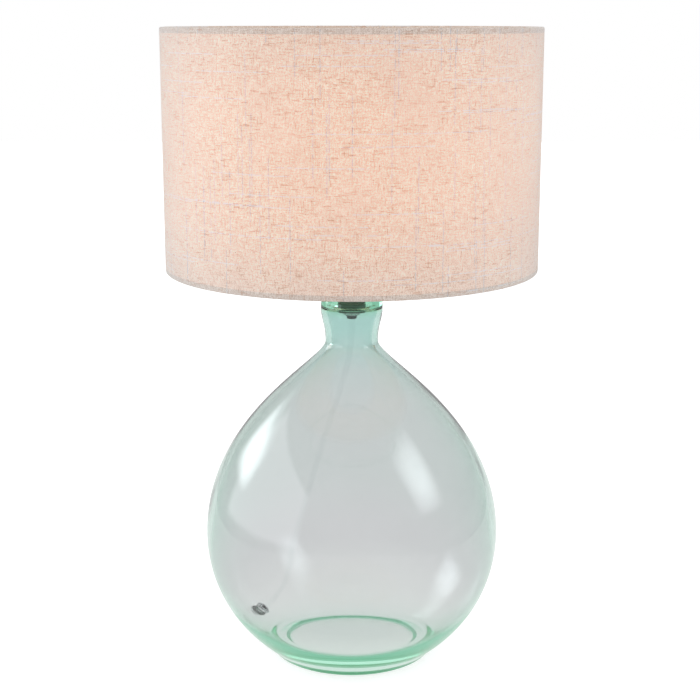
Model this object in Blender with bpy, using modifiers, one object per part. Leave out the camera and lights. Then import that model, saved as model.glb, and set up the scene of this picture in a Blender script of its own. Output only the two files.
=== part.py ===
"""Table lamp: a clear glass demijohn with a lampholder in its mouth and a linen drum shade.

Metres, +Z up. The origin is on the table, under the middle of the bottle.
"""

from math import cos, hypot, pi, radians, sin, tan

import bmesh
import bpy
from mathutils import Vector

# ---- clearances -------------------------------------------------------------------------
GAP = 0.0003  # between pieces that rest on or clamp each other
THREAD_GAP = 0.0003  # round a thread or a spigot, measured on the radius

# ---- glass bottle -----------------------------------------------------------------------
BOTTLE_HEIGHT = 0.408
BELLY_RADIUS = 0.1623
BELLY_HEIGHT = 0.1373
BASE_RADIUS = 0.0946  # where the rounded foot meets the flank
FOOT_HEIGHT = 0.0066
FOOT_FLAT_INNER = 0.0765
FOOT_FLAT_OUTER = 0.0860
FLANK_ANGLE = radians(49.5)  # of the flank above the foot, from the table
KICK_HEIGHT = 0.0050  # hollow under the base, at its middle
NECK_RADIUS = 0.0288
NECK_BELOW_TOP = 0.0536
LIP_RADIUS = 0.0337
LIP_BELOW_TOP = 0.0158  # widest part of the lip
LIP_LEDGE_BELOW_TOP = 0.0150  # underside of the thick lip, inside the neck
MOUTH_RADIUS = 0.0155
BELLY_WALL = 0.0045
NECK_WALL = 0.0050
FLOOR_THICKNESS = 0.0090
LIP_WALL = 0.0057  # at the widest part of the lip
LEDGE_ROUND = 0.0030  # inside corner under the lip
FLANK_HANDLES = (0.0075, 0.0850)  # curve handles at the foot and at the belly
SHOULDER_HANDLES = (0.1308, 0.0218)  # at the belly and under the neck
LIP_HANDLES = (0.0200, 0.0160)  # over the neck and under the lip
INNER_FLANK_HANDLE = 0.0800  # at the belly
INNER_SHOULDER_HANDLES = (0.1285, 0.0230)
INNER_LIP_HANDLES = (0.0180, 0.0100)
INNER_FLOOR_ANGLE = radians(17)  # of the glass where the floor turns up
BOTTLE_STEPS = 40

# ---- fitting in the bottle's mouth ------------------------------------------------------
NIPPLE_RADIUS = 0.0050
FLEX_RADIUS = 0.0030
FLEX_CLEARANCE = 0.0005  # round the flex in the nipple and in the gland
NIPPLE_BELOW_NUT = 0.0030
NIPPLE_IN_HOLDER = 0.0090
COVER_RADIUS = 0.0230
COVER_THICKNESS = 0.0015
BUNG_LENGTH = 0.0190
WASHER_RADIUS = 0.0135
WASHER_THICKNESS = 0.0015
NUT_ACROSS_FLATS = 0.0170
NUT_HEIGHT = 0.0030
BUSH_CLEARANCE = 0.0002  # round the nipple
BUSH_WALL = 0.00105
BUSH_TAPER = 0.0010
BUSH_HEIGHT = 0.0048

# ---- lampholder for an E27 bulb ---------------------------------------------------------
HOLDER_CAP_HEIGHT = 0.0199
HOLDER_NECK_WALL = 0.0030
HOLDER_NECK_HEIGHT = 0.0050
HOLDER_WALL = 0.0018
SKIRT_RADIUS = 0.0198
SKIRT_HEIGHT = 0.0337
SKIRT_WALL = 0.0020
SKIRT_MOUTH_CLEARANCE = 0.0020  # round the bulb's cap
THREAD_PITCH = 0.0025
THREAD_DEPTH = 0.0005
THREAD_BELOW_TOP = 0.0030
THREAD_TURNS = 7
INSERT_HEIGHT = 0.0090
INSERT_ABOVE_SEAM = 0.0007
CONTACT_CLEARANCE = 0.0006  # round the bulb's cap
CONTACT_SHELL_WALL = 0.0005
CONTACT_SHELL_HEIGHT = 0.0187
LEAF_WIDTH = 0.0050
LEAF_LENGTH = 0.0160
LEAF_RISE = 0.0016
LEAF_THICKNESS = 0.0004
TERMINAL_SPREAD = 0.0080  # of each core's hole from the axis
TERMINAL_OFFSET = 0.0060
TERMINAL_RADIUS = 0.0018
TERMINAL_HEIGHT = 0.0030

# ---- shade rings ------------------------------------------------------------------------
SEAT_ABOVE_CAP = 0.0080  # top of the lower ring above the joint of cap and skirt
RING_WIDTH = 0.0084  # from its thread out
LOWER_RING_HEIGHT = 0.0040
UPPER_RING_HEIGHT = 0.0060
SLIP_WASHER_THICKNESS = 0.0008
SLIP_WASHER_WIDTH = 0.0061

# ---- bulb -------------------------------------------------------------------------------
BULB_LENGTH = 0.108
BULB_RADIUS = 0.030
BULB_CAP_RADIUS = 0.0132
BULB_CAP_HEIGHT = 0.0207
BULB_BODY_HEIGHT = 0.0310
BULB_BODY_RADIUS = 0.0222
BULB_FOOT_OVER_CAP = 0.0008  # how far the body's foot stands out round the cap
BULB_WALL = 0.0010
BULB_TIP_RADIUS = 0.0048
BULB_TIP_HEIGHT = 0.0015
BULB_INSULATOR_HEIGHT = 0.0035
BULB_PITCH = 0.00363
BULB_STEPS = 24

# ---- drum shade -------------------------------------------------------------------------
SHADE_RADIUS = 0.200
SHADE_HEIGHT = 0.255
CLOTH = 0.0008
LINING = 0.0005
HEM_DEPTH = 0.0110
HEM_TURN = 0.0022  # height of the rounded turn at the rim
HEM_PAST_WIRE = 0.0012  # length of cloth before it closes on the lining
HEM_CLOSE = 0.0026  # length over which it closes
WIRE_RADIUS = 0.0015
FITTER_RIM = 0.0020  # of the fitter plate beyond the threaded rings
FITTER_CLEARANCE = 0.0007  # round the holder's thread, beyond the rings' own bore
FITTER_THICKNESS = 0.0015
FITTER_ABOVE_WIRE = 0.0055
SPOKE_COUNT = 3
SPOKE_AZIMUTH = radians(90)
SHADE_STEPS = 48

# ---- cable gland low in the bottle's wall -----------------------------------------------
GLAND_AZIMUTH = radians(161.5)
GLAND_HEIGHT = 0.0260
GLAND_HOLE_CLEARANCE = 0.0005
GLAND_SEAL_RIM = 0.0005  # of the seals beyond the flange
GLAND_SEAL_THICKNESS = 0.0010
GLAND_FLANGE_WIDTH = 0.0040
GLAND_FLANGE_THICKNESS = 0.0018
GLAND_COLLAR_WALL = 0.0015
GLAND_COLLAR_LENGTH = 0.0040
GLAND_STEM_BEYOND_NUT = 0.0010

# ---- flex inside the bottle -------------------------------------------------------------
FLEX_STEP = 0.0130
FLEX_BEYOND_NIPPLE = 0.0040
CORE_RADIUS = 0.0011
CORE_STEP = 0.0022
FLEX_BEND = [  # between the neck and the gland
    (-0.0040, 0.0013, 0.3300),
    (-0.0190, 0.0063, 0.2760),
    (-0.0370, 0.0123, 0.2180),
    (-0.0540, 0.0180, 0.1600),
    (-0.0680, 0.0227, 0.1080),
    (-0.0755, 0.0252, 0.0720),
]

# ---- radii and heights that follow from the sizes above ---------------------------------
NIPPLE_BORE_RADIUS = FLEX_RADIUS + FLEX_CLEARANCE
NIPPLE_CLEAR_RADIUS = NIPPLE_RADIUS + THREAD_GAP
BUSH_BORE_RADIUS = NIPPLE_RADIUS + BUSH_CLEARANCE
BUSH_RADIUS = BUSH_BORE_RADIUS + BUSH_WALL
BUSH_TIP_RADIUS = BUSH_RADIUS - BUSH_TAPER
HOLDER_NECK_RADIUS = NIPPLE_RADIUS + HOLDER_NECK_WALL
SKIRT_MOUTH_RADIUS = BULB_CAP_RADIUS + SKIRT_MOUTH_CLEARANCE
CONTACT_SHELL_RADIUS = BULB_CAP_RADIUS + CONTACT_CLEARANCE + CONTACT_SHELL_WALL
BULB_BODY_FOOT_RADIUS = BULB_CAP_RADIUS + BULB_FOOT_OVER_CAP
THREAD_BORE_RADIUS = SKIRT_RADIUS + THREAD_GAP
RING_RADIUS = THREAD_BORE_RADIUS + RING_WIDTH
SLIP_WASHER_RADIUS = THREAD_BORE_RADIUS + SLIP_WASHER_WIDTH
FITTER_BORE_RADIUS = THREAD_BORE_RADIUS + FITTER_CLEARANCE
FITTER_RADIUS = RING_RADIUS + FITTER_RIM
GLAND_HOLE_RADIUS = NIPPLE_RADIUS + GLAND_HOLE_CLEARANCE
GLAND_COLLAR_RADIUS = NIPPLE_RADIUS + GLAND_COLLAR_WALL
GLAND_FLANGE_RADIUS = NIPPLE_RADIUS + GLAND_FLANGE_WIDTH
GLAND_SEAL_RADIUS = GLAND_FLANGE_RADIUS + GLAND_SEAL_RIM
LEDGE_Z = BOTTLE_HEIGHT - LIP_LEDGE_BELOW_TOP
BUNG_BOTTOM = BOTTLE_HEIGHT - BUNG_LENGTH
WASHER_TOP = BUNG_BOTTOM - GAP
NUT_TOP = WASHER_TOP - WASHER_THICKNESS - GAP
NUT_BOTTOM = NUT_TOP - NUT_HEIGHT
BUSH_TOP = NUT_BOTTOM - GAP
NIPPLE_BOTTOM = NUT_BOTTOM - NIPPLE_BELOW_NUT
COVER_TOP = BOTTLE_HEIGHT + GAP + COVER_THICKNESS
HOLDER_BOTTOM = COVER_TOP + GAP
NIPPLE_TOP = HOLDER_BOTTOM + NIPPLE_IN_HOLDER
CAP_TOP = HOLDER_BOTTOM + HOLDER_CAP_HEIGHT
SKIRT_BOTTOM = CAP_TOP + GAP
SKIRT_TOP = SKIRT_BOTTOM + SKIRT_HEIGHT
INSERT_BOTTOM = SKIRT_BOTTOM + INSERT_ABOVE_SEAM
INSERT_TOP = INSERT_BOTTOM + INSERT_HEIGHT
SEAT_TOP = CAP_TOP + SEAT_ABOVE_CAP + LOWER_RING_HEIGHT
FITTER_BOTTOM = SEAT_TOP + GAP
SLIP_BOTTOM = FITTER_BOTTOM + FITTER_THICKNESS + GAP
UPPER_RING_BOTTOM = SLIP_BOTTOM + SLIP_WASHER_THICKNESS + GAP
FITTER_MIDDLE = FITTER_BOTTOM + FITTER_THICKNESS / 2
WIRE_BOTTOM_Z = FITTER_MIDDLE - FITTER_ABOVE_WIRE
SHADE_BOTTOM = WIRE_BOTTOM_Z - WIRE_RADIUS - GAP - CLOTH
SHADE_TOP = SHADE_BOTTOM + SHADE_HEIGHT
WIRE_TOP_Z = SHADE_TOP - CLOTH - GAP - WIRE_RADIUS
WIRE_RING_RADIUS = SHADE_RADIUS - CLOTH - GAP - WIRE_RADIUS
LEAF_TOP = INSERT_TOP + GAP + LEAF_RISE + LEAF_THICKNESS
BULB_BOTTOM = LEAF_TOP + GAP


def clear_scene():
    """Start from an empty scene with one collection for the lamp and one for cutters."""
    for thing in list(bpy.data.objects):
        bpy.data.objects.remove(thing, do_unlink=True)
    for name in ("table_lamp", "cutters"):
        if name not in bpy.data.collections:
            bpy.context.scene.collection.children.link(bpy.data.collections.new(name))


def finish(name, colour, roughness, metallic=0.0, transmission=0.0):
    """A Principled material for one piece."""
    made = bpy.data.materials.new(name)
    made.use_nodes = True
    shader = made.node_tree.nodes["Principled BSDF"]
    shader.inputs["Base Color"].default_value = (*colour, 1.0)
    shader.inputs["Roughness"].default_value = roughness
    shader.inputs["Metallic"].default_value = metallic
    shader.inputs["Transmission Weight"].default_value = transmission
    made.diffuse_color = (*colour, 1.0)
    return made


def add_object(name, data, look=None, parent=None, collection="table_lamp"):
    """Link data as a named object of the lamp."""
    thing = bpy.data.objects.new(name, data)
    bpy.data.collections[collection].objects.link(thing)
    if look:
        data.materials.append(finish(name, **look))
    thing.parent = parent
    return thing


def add_empty(name, location=(0, 0, 0), direction=None):
    """A parent on a joint's axis or on the gland's axis, which lies along its local Z."""
    thing = add_object(name, None)
    thing.empty_display_size = 0.02
    thing.location = location
    if direction is not None:
        thing.rotation_euler = direction.to_track_quat("Z", "Y").to_euler()
    return thing


def shade_smooth(mesh, angle=radians(30)):
    mesh.shade_smooth()
    mesh.set_sharp_from_angle(angle=angle)


def turned(name, profile, look=None, steps=24, closed=True, parent=None, collection="table_lamp"):
    """A solid of revolution. The profile runs down its outer side; an open one ends on the axis."""
    mesh = bpy.data.meshes.new(name)
    ends = len(profile) if closed else len(profile) - 1
    edges = [(i, (i + 1) % len(profile)) for i in range(ends)]
    mesh.from_pydata([(r, 0.0, z) for r, z in profile], edges, [])
    thing = add_object(name, mesh, look, parent, collection)
    screw = thing.modifiers.new("turn", "SCREW")
    screw.axis = "Z"
    screw.steps = steps
    screw.render_steps = steps
    screw.use_merge_vertices = True
    screw.merge_threshold = 0.00001
    screw.use_smooth_shade = True
    return thing


def tube_profile(outer, inner, bottom, top):
    return [(outer, top), (outer, bottom), (inner, bottom), (inner, top)]


def cubic(start, lead, trail, end, count):
    """Points of a cubic curve, without its first one."""
    found = []
    for i in range(1, count + 1):
        t = i / count
        a, b, c, d = (1 - t) ** 3, 3 * (1 - t) ** 2 * t, 3 * (1 - t) * t * t, t**3
        corners = zip(start, lead, trail, end)
        found.append(tuple(a * p + b * q + c * r + d * s for p, q, r, s in corners))
    return found


def arc(centre, radius, first, last, count):
    """Points of an arc in the profile plane, its first one included."""
    turns = [first + (last - first) * i / count for i in range(count + 1)]
    return [(centre[0] + radius * cos(a), centre[1] + radius * sin(a)) for a in turns]


def cut(thing, cutter, operation="DIFFERENCE"):
    """Take a cutter away from a piece, or join it on."""
    step = thing.modifiers.new("cut", "BOOLEAN")
    step.operation = operation
    step.solver = "EXACT"
    step.object = cutter
    cutter.hide_render = True
    cutter.display_type = "WIRE"


def cylinder(name, radius, depth, location, vertices=24):
    """A cutter on its own local Z axis."""
    mesh = bpy.data.meshes.new(name)
    bm = bmesh.new()
    bmesh.ops.create_cone(
        bm, cap_ends=True, segments=vertices, radius1=radius, radius2=radius, depth=depth
    )
    bm.to_mesh(mesh)
    bm.free()
    thing = add_object(name, mesh, collection="cutters")
    thing.location = location
    return thing


def hex_nut(name, across_flats, height, bore, middle, look, parent=None):
    """A thin hexagon nut, chamfered on both faces, on the Z axis of its parent."""
    corner = across_flats / 2 / cos(pi / 6)
    mesh = bpy.data.meshes.new(name)
    bm = bmesh.new()
    bmesh.ops.create_cone(
        bm, cap_ends=True, segments=6, radius1=corner, radius2=corner, depth=height
    )
    bm.to_mesh(mesh)
    bm.free()
    nut = add_object(name, mesh, look, parent)
    nut.location = (0, 0, middle)
    bevel = nut.modifiers.new("chamfer", "BEVEL")
    bevel.width = 0.0004
    bevel.segments = 1
    bevel.limit_method = "ANGLE"
    bevel.angle_limit = radians(70)
    hole = cylinder(name + "_hole", bore, height * 3, (0, 0, middle))
    hole.parent = parent
    cut(nut, hole)
    return nut


# ---- the bottle's outline ---------------------------------------------------------------
def outer_flank():
    """From the foot's outer edge up to the belly."""
    foot = (BASE_RADIUS, FOOT_HEIGHT)
    low, high = FLANK_HANDLES
    lead = (BASE_RADIUS + low * cos(FLANK_ANGLE), FOOT_HEIGHT + low * sin(FLANK_ANGLE))
    trail = (BELLY_RADIUS, BELLY_HEIGHT - high)
    return [foot] + cubic(foot, lead, trail, (BELLY_RADIUS, BELLY_HEIGHT), 7)


def outer_shoulder():
    """From the belly up to the widest part of the lip."""
    neck_z = BOTTLE_HEIGHT - NECK_BELOW_TOP
    belly = (BELLY_RADIUS, BELLY_HEIGHT)
    neck = (NECK_RADIUS, neck_z)
    lip = (LIP_RADIUS, BOTTLE_HEIGHT - LIP_BELOW_TOP)
    up = (BELLY_RADIUS, BELLY_HEIGHT + SHOULDER_HANDLES[0])
    below = (NECK_RADIUS, neck_z - SHOULDER_HANDLES[1])
    above = (NECK_RADIUS, neck_z + LIP_HANDLES[0])
    under_lip = (LIP_RADIUS, lip[1] - LIP_HANDLES[1])
    return cubic(belly, up, below, neck, 9) + cubic(neck, above, under_lip, lip, 3)


def outer_lip():
    """Over the rolled lip, from its widest part in to the flat of the mouth."""
    widest = (LIP_RADIUS, BOTTLE_HEIGHT - LIP_BELOW_TOP)
    return cubic(
        widest,
        (LIP_RADIUS, BOTTLE_HEIGHT - 0.0050),
        (LIP_RADIUS - 0.0030, BOTTLE_HEIGHT),
        (LIP_RADIUS - 0.0095, BOTTLE_HEIGHT),
        3,
    )


def foot_curve():
    """From the flat ring under the foot out to the flank's start."""
    start = (FOOT_FLAT_OUTER, 0.0)
    end = (BASE_RADIUS, FOOT_HEIGHT)
    lead = (FOOT_FLAT_OUTER + 0.0045, 0.0)
    trail = (BASE_RADIUS - 0.0030 * cos(FLANK_ANGLE), FOOT_HEIGHT - 0.0030 * sin(FLANK_ANGLE))
    return [start] + cubic(start, lead, trail, end, 3)


def inner_flank():
    """Inside the bottle, from the middle of the floor up to the belly."""
    floor_z = KICK_HEIGHT + FLOOR_THICKNESS
    edge = (FOOT_FLAT_INNER, floor_z - 0.0030)
    belly = (BELLY_RADIUS - BELLY_WALL, BELLY_HEIGHT)
    rise = (belly[0] - edge[0]) * 0.42
    lead = (edge[0] + rise, edge[1] + rise * tan(INNER_FLOOR_ANGLE))
    trail = (belly[0], BELLY_HEIGHT - INNER_FLANK_HANDLE)
    floor = [(0.0, floor_z), (edge[0] * 0.6, floor_z - 0.0010), edge]
    return floor + cubic(edge, lead, trail, belly, 7)


def inner_shoulder():
    """Inside the bottle, from the belly up to the ledge under the lip."""
    neck_z = BOTTLE_HEIGHT - NECK_BELOW_TOP
    belly = (BELLY_RADIUS - BELLY_WALL, BELLY_HEIGHT)
    neck = (NECK_RADIUS - NECK_WALL, neck_z)
    up = (belly[0], BELLY_HEIGHT + INNER_SHOULDER_HANDLES[0])
    below = (neck[0], neck_z - INNER_SHOULDER_HANDLES[1])
    ledge_radius = LIP_RADIUS - LIP_WALL
    ledge = (ledge_radius, LEDGE_Z - LEDGE_ROUND)
    above = (neck[0], neck_z + INNER_LIP_HANDLES[0])
    under = (ledge_radius, ledge[1] - INNER_LIP_HANDLES[1])
    return cubic(belly, up, below, neck, 7) + cubic(neck, above, under, ledge, 3)


def inner_mouth():
    """Round the underside of the lip and up the mouth's bore."""
    corner = (LIP_RADIUS - LIP_WALL - LEDGE_ROUND, LEDGE_Z - LEDGE_ROUND)
    ring = arc(corner, LEDGE_ROUND, 0.0, pi / 2, 2)[1:]
    bore = [
        (MOUTH_RADIUS + 0.0010, LEDGE_Z),
        (MOUTH_RADIUS, LEDGE_Z + 0.0010),
        (MOUTH_RADIUS, BOTTLE_HEIGHT - 0.0015),
        (MOUTH_RADIUS + 0.0015, BOTTLE_HEIGHT),
    ]
    return ring + bore


def bottle_profile():
    """Whole outline, from the floor inside, up, over the lip and down to the hollow base."""
    inside = inner_flank() + inner_shoulder() + inner_mouth()
    down = list(reversed(outer_lip()))
    down += list(reversed(outer_flank()[:-1] + [(BELLY_RADIUS, BELLY_HEIGHT)] + outer_shoulder()))
    under = list(reversed(foot_curve()))[1:]
    kick = [
        (FOOT_FLAT_INNER, 0.0),
        (FOOT_FLAT_INNER - 0.0040, 0.0030),
        (FOOT_FLAT_INNER * 0.5, KICK_HEIGHT - 0.0004),
        (0.0, KICK_HEIGHT),
    ]
    return inside + down + under + kick


# ---- where the gland goes through the wall ----------------------------------------------
def gland_frame():
    """(point on the outer wall, outward direction), both in the plane of radius and height."""
    line = outer_flank()
    for a, b in zip(line, line[1:]):
        if a[1] <= GLAND_HEIGHT <= b[1]:
            share = (GLAND_HEIGHT - a[1]) / (b[1] - a[1])
            long = hypot(b[0] - a[0], b[1] - a[1])
            point = (a[0] + share * (b[0] - a[0]), GLAND_HEIGHT)
            return point, ((b[1] - a[1]) / long, -(b[0] - a[0]) / long)
    raise ValueError("the gland's height is off the bottle's flank")


def wall_depth(offset):
    """How far in the inner wall lies, from a place this far along the outer wall."""
    (r, z), (nr, nz) = gland_frame()
    start = (r - nz * offset, z + nr * offset)
    line = inner_flank()
    for a, b in zip(line, line[1:]):
        run, rise = b[0] - a[0], b[1] - a[1]
        across = nr * rise - nz * run
        if abs(across) < 1e-12:
            continue
        depth = ((start[0] - a[0]) * rise - (start[1] - a[1]) * run) / across
        share_r = a[0] - (start[0] - depth * nr)
        share_z = a[1] - (start[1] - depth * nz)
        share = -(share_r * run + share_z * rise) / (run * run + rise * rise)
        if depth > 0 and -1e-9 <= share <= 1 + 1e-9:
            return depth
    raise ValueError("no inner wall behind the gland")


def gland_depth():
    """Depth of the seat inside the wall, clear of the curve of the glass under the seal."""
    round_wall = gland_frame()[0][0] - wall_depth(0.0)
    rim = 0.0
    for i in range(13):
        up, across = GLAND_SEAL_RADIUS * cos(pi * i / 12), GLAND_SEAL_RADIUS * sin(pi * i / 12)
        rim = max(rim, wall_depth(up) + across**2 / (2 * round_wall))
    facet = round_wall * (1 - cos(pi / BOTTLE_STEPS))
    return rim + facet + GAP


def gland_axis():
    """(point, direction) of the gland in space, on the outer wall, pointing out."""
    (r, z), (nr, nz) = gland_frame()
    c, s = cos(GLAND_AZIMUTH), sin(GLAND_AZIMUTH)
    return Vector((r * c, r * s, z)), Vector((nr * c, nr * s, nz)).normalized()


def build_bottle():
    look = dict(colour=(0.72, 0.90, 0.83), roughness=0.03, transmission=1.0)
    bottle = turned("glass_bottle", bottle_profile(), look, BOTTLE_STEPS, closed=False)
    point, out = gland_axis()
    axis = add_empty("gland_hole_axis", point, out)
    length = gland_depth() + 0.030
    hole = cylinder("gland_hole", GLAND_HOLE_RADIUS, length, (0, 0, 0))
    hole.parent = axis
    cut(bottle, hole)


# ---- fitting clamped in the mouth -------------------------------------------------------
def build_mouth_fitting():
    """Cover plate over the lip, rubber bung in the bore, washer and nut below, on one nipple."""
    bore = NIPPLE_CLEAR_RADIUS
    steel = dict(colour=(0.55, 0.55, 0.54), roughness=0.35, metallic=1.0)
    plate_bottom = BOTTLE_HEIGHT + GAP
    plate = [
        (COVER_RADIUS - 0.0005, COVER_TOP),
        (COVER_RADIUS, COVER_TOP - 0.0005),
        (COVER_RADIUS, plate_bottom),
        (bore, plate_bottom),
        (bore, COVER_TOP),
    ]
    turned("mouth_cover_plate", plate, steel)
    bung_radius = MOUTH_RADIUS - GAP
    bung = [
        (bung_radius, BOTTLE_HEIGHT),
        (bung_radius, LEDGE_Z + 0.0010),
        (bung_radius - 0.0008, BUNG_BOTTOM),
        (bore, BUNG_BOTTOM),
        (bore, BOTTLE_HEIGHT),
    ]
    turned("rubber_bung", bung, dict(colour=(0.05, 0.05, 0.05), roughness=0.8))
    turned(
        "clamp_washer",
        tube_profile(WASHER_RADIUS, bore, WASHER_TOP - WASHER_THICKNESS, WASHER_TOP),
        steel,
    )
    hex_nut("clamp_nut", NUT_ACROSS_FLATS, NUT_HEIGHT, bore, NUT_TOP - NUT_HEIGHT / 2, steel)
    turned(
        "threaded_nipple",
        tube_profile(NIPPLE_RADIUS, NIPPLE_BORE_RADIUS, NIPPLE_BOTTOM, NIPPLE_TOP),
        steel,
    )
    bush_bottom = BUSH_TOP - BUSH_HEIGHT
    floor_top = NIPPLE_BOTTOM - GAP
    bush = [
        (BUSH_RADIUS, BUSH_TOP),
        (BUSH_RADIUS, BUSH_TOP - 0.0018),
        (BUSH_TIP_RADIUS + 0.0003, BUSH_TOP - 0.0021),
        (BUSH_TIP_RADIUS, bush_bottom),
        (NIPPLE_BORE_RADIUS, bush_bottom),
        (NIPPLE_BORE_RADIUS, floor_top),
        (BUSH_BORE_RADIUS, floor_top),
        (BUSH_BORE_RADIUS, BUSH_TOP),
    ]
    turned("nipple_bush", bush, dict(colour=(0.10, 0.10, 0.10), roughness=0.5))


# ---- lampholder -------------------------------------------------------------------------
def build_holder():
    """Two-part threaded holder: cap on the nipple, skirt above it, insert and contacts inside."""
    white = dict(colour=(0.86, 0.85, 0.82), roughness=0.35)
    brass = dict(colour=(0.78, 0.62, 0.34), roughness=0.3, metallic=1.0)
    bore = NIPPLE_CLEAR_RADIUS
    neck_top = HOLDER_BOTTOM + HOLDER_NECK_HEIGHT
    inner = SKIRT_RADIUS - HOLDER_WALL
    seat = NIPPLE_TOP + GAP
    bell = cubic(
        (HOLDER_NECK_RADIUS, neck_top),
        (HOLDER_NECK_RADIUS + 0.0060, neck_top),
        (SKIRT_RADIUS, neck_top + 0.0020),
        (SKIRT_RADIUS, neck_top + 0.0090),
        4,
    )
    cap = [(SKIRT_RADIUS, CAP_TOP)] + list(reversed(bell))
    cap += [(HOLDER_NECK_RADIUS, neck_top), (HOLDER_NECK_RADIUS, HOLDER_BOTTOM)]
    cap += [(bore, HOLDER_BOTTOM), (bore, seat), (bore + 0.0030, seat), (inner, seat + 0.0040), (inner, CAP_TOP)]
    turned("holder_cap", cap, white)

    skirt = [(SKIRT_RADIUS - 0.0006, SKIRT_TOP), (SKIRT_RADIUS - THREAD_DEPTH, SKIRT_TOP - 0.0004)]
    for turn in range(THREAD_TURNS):
        z = SKIRT_TOP - THREAD_BELOW_TOP - turn * THREAD_PITCH
        half = THREAD_PITCH / 2
        skirt += [(SKIRT_RADIUS - THREAD_DEPTH, z + half * 0.9), (SKIRT_RADIUS, z)]
    skirt.append((SKIRT_RADIUS - THREAD_DEPTH, z - half * 0.9))
    inside = SKIRT_RADIUS - SKIRT_WALL
    skirt += [
        (SKIRT_RADIUS - THREAD_DEPTH, SKIRT_BOTTOM),
        (inside, SKIRT_BOTTOM),
        (inside, SKIRT_TOP - 0.0040),
        (SKIRT_MOUTH_RADIUS, SKIRT_TOP - 0.0020),
        (SKIRT_MOUTH_RADIUS, SKIRT_TOP),
    ]
    turned("holder_skirt", skirt, white)

    insert = turned(
        "holder_insert",
        [
            (0.0, INSERT_TOP),
            (inside - GAP, INSERT_TOP),
            (inside - GAP, INSERT_BOTTOM),
            (0.0, INSERT_BOTTOM),
        ],
        dict(colour=(0.80, 0.78, 0.72), roughness=0.5),
        closed=False,
    )
    for side in (-1, 1):
        place = (side * TERMINAL_SPREAD, 0, INSERT_BOTTOM)
        hole = cylinder(f"core_hole_{side}", CORE_RADIUS + GAP, 0.0060, place, 12)
        cut(insert, hole)
    turned(
        "screw_contact_shell",
        tube_profile(
            CONTACT_SHELL_RADIUS,
            CONTACT_SHELL_RADIUS - CONTACT_SHELL_WALL,
            INSERT_TOP + GAP,
            INSERT_TOP + GAP + CONTACT_SHELL_HEIGHT,
        ),
        brass,
    )
    build_leaf(brass)
    build_terminals(brass)


def build_leaf(look):
    """Sprung centre contact: a strip bowed up from the insert."""
    bm = bmesh.new()
    count = 8
    rows = []
    for i in range(count + 1):
        along = i / count - 0.5
        rise = LEAF_RISE * cos(pi * along) ** 2
        z = INSERT_TOP + GAP + LEAF_THICKNESS / 2 + rise
        rows.append([bm.verts.new((along * LEAF_LENGTH, y * LEAF_WIDTH / 2, z)) for y in (-1, 1)])
    for (a, b), (c, d) in zip(rows, rows[1:]):
        bm.faces.new((a, c, d, b))
    mesh = bpy.data.meshes.new("centre_contact")
    bm.to_mesh(mesh)
    bm.free()
    leaf = add_object("centre_contact", mesh, look)
    shell = leaf.modifiers.new("thickness", "SOLIDIFY")
    shell.thickness = LEAF_THICKNESS
    shell.offset = 0.0


def build_terminals(look):
    """Two terminal screws under the insert, each beside its core's hole."""
    low = INSERT_BOTTOM - GAP - TERMINAL_HEIGHT
    for number, side in enumerate((-1, 1), 1):
        head = [
            (0.0, TERMINAL_HEIGHT),
            (TERMINAL_RADIUS, TERMINAL_HEIGHT),
            (TERMINAL_RADIUS, 0.0004),
            (TERMINAL_RADIUS * 0.8, 0.0),
            (0.0, 0.0),
        ]
        screw = turned(f"terminal_screw_{number}", head, look, steps=16, closed=False)
        screw.location = (side * TERMINAL_SPREAD, TERMINAL_OFFSET, low)


# ---- rings that clamp the shade ---------------------------------------------------------
def grip_ring(name, bottom, height, look, parent=None):
    """A threaded ring with a waist between its flange and its grip."""
    top = bottom + height
    profile = [
        (RING_RADIUS - 0.0006, top),
        (RING_RADIUS, top - 0.0006),
        (RING_RADIUS, bottom + 0.0006),
        (RING_RADIUS - 0.0006, bottom),
        (THREAD_BORE_RADIUS, bottom),
        (THREAD_BORE_RADIUS, top),
    ]
    return turned(name, profile, look, parent=parent)


def build_shade_rings():
    white = dict(colour=(0.86, 0.85, 0.82), roughness=0.35)
    grip_ring("lower_shade_ring", SEAT_TOP - LOWER_RING_HEIGHT, LOWER_RING_HEIGHT, white)
    axis = add_empty("upper_ring_axis", (0, 0, UPPER_RING_BOTTOM))
    grip_ring("upper_shade_ring", 0.0, UPPER_RING_HEIGHT, white, axis)
    turned(
        "slip_washer",
        tube_profile(
            SLIP_WASHER_RADIUS, THREAD_BORE_RADIUS, SLIP_BOTTOM, SLIP_BOTTOM + SLIP_WASHER_THICKNESS
        ),
        dict(colour=(0.75, 0.74, 0.70), roughness=0.6),
    )


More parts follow.
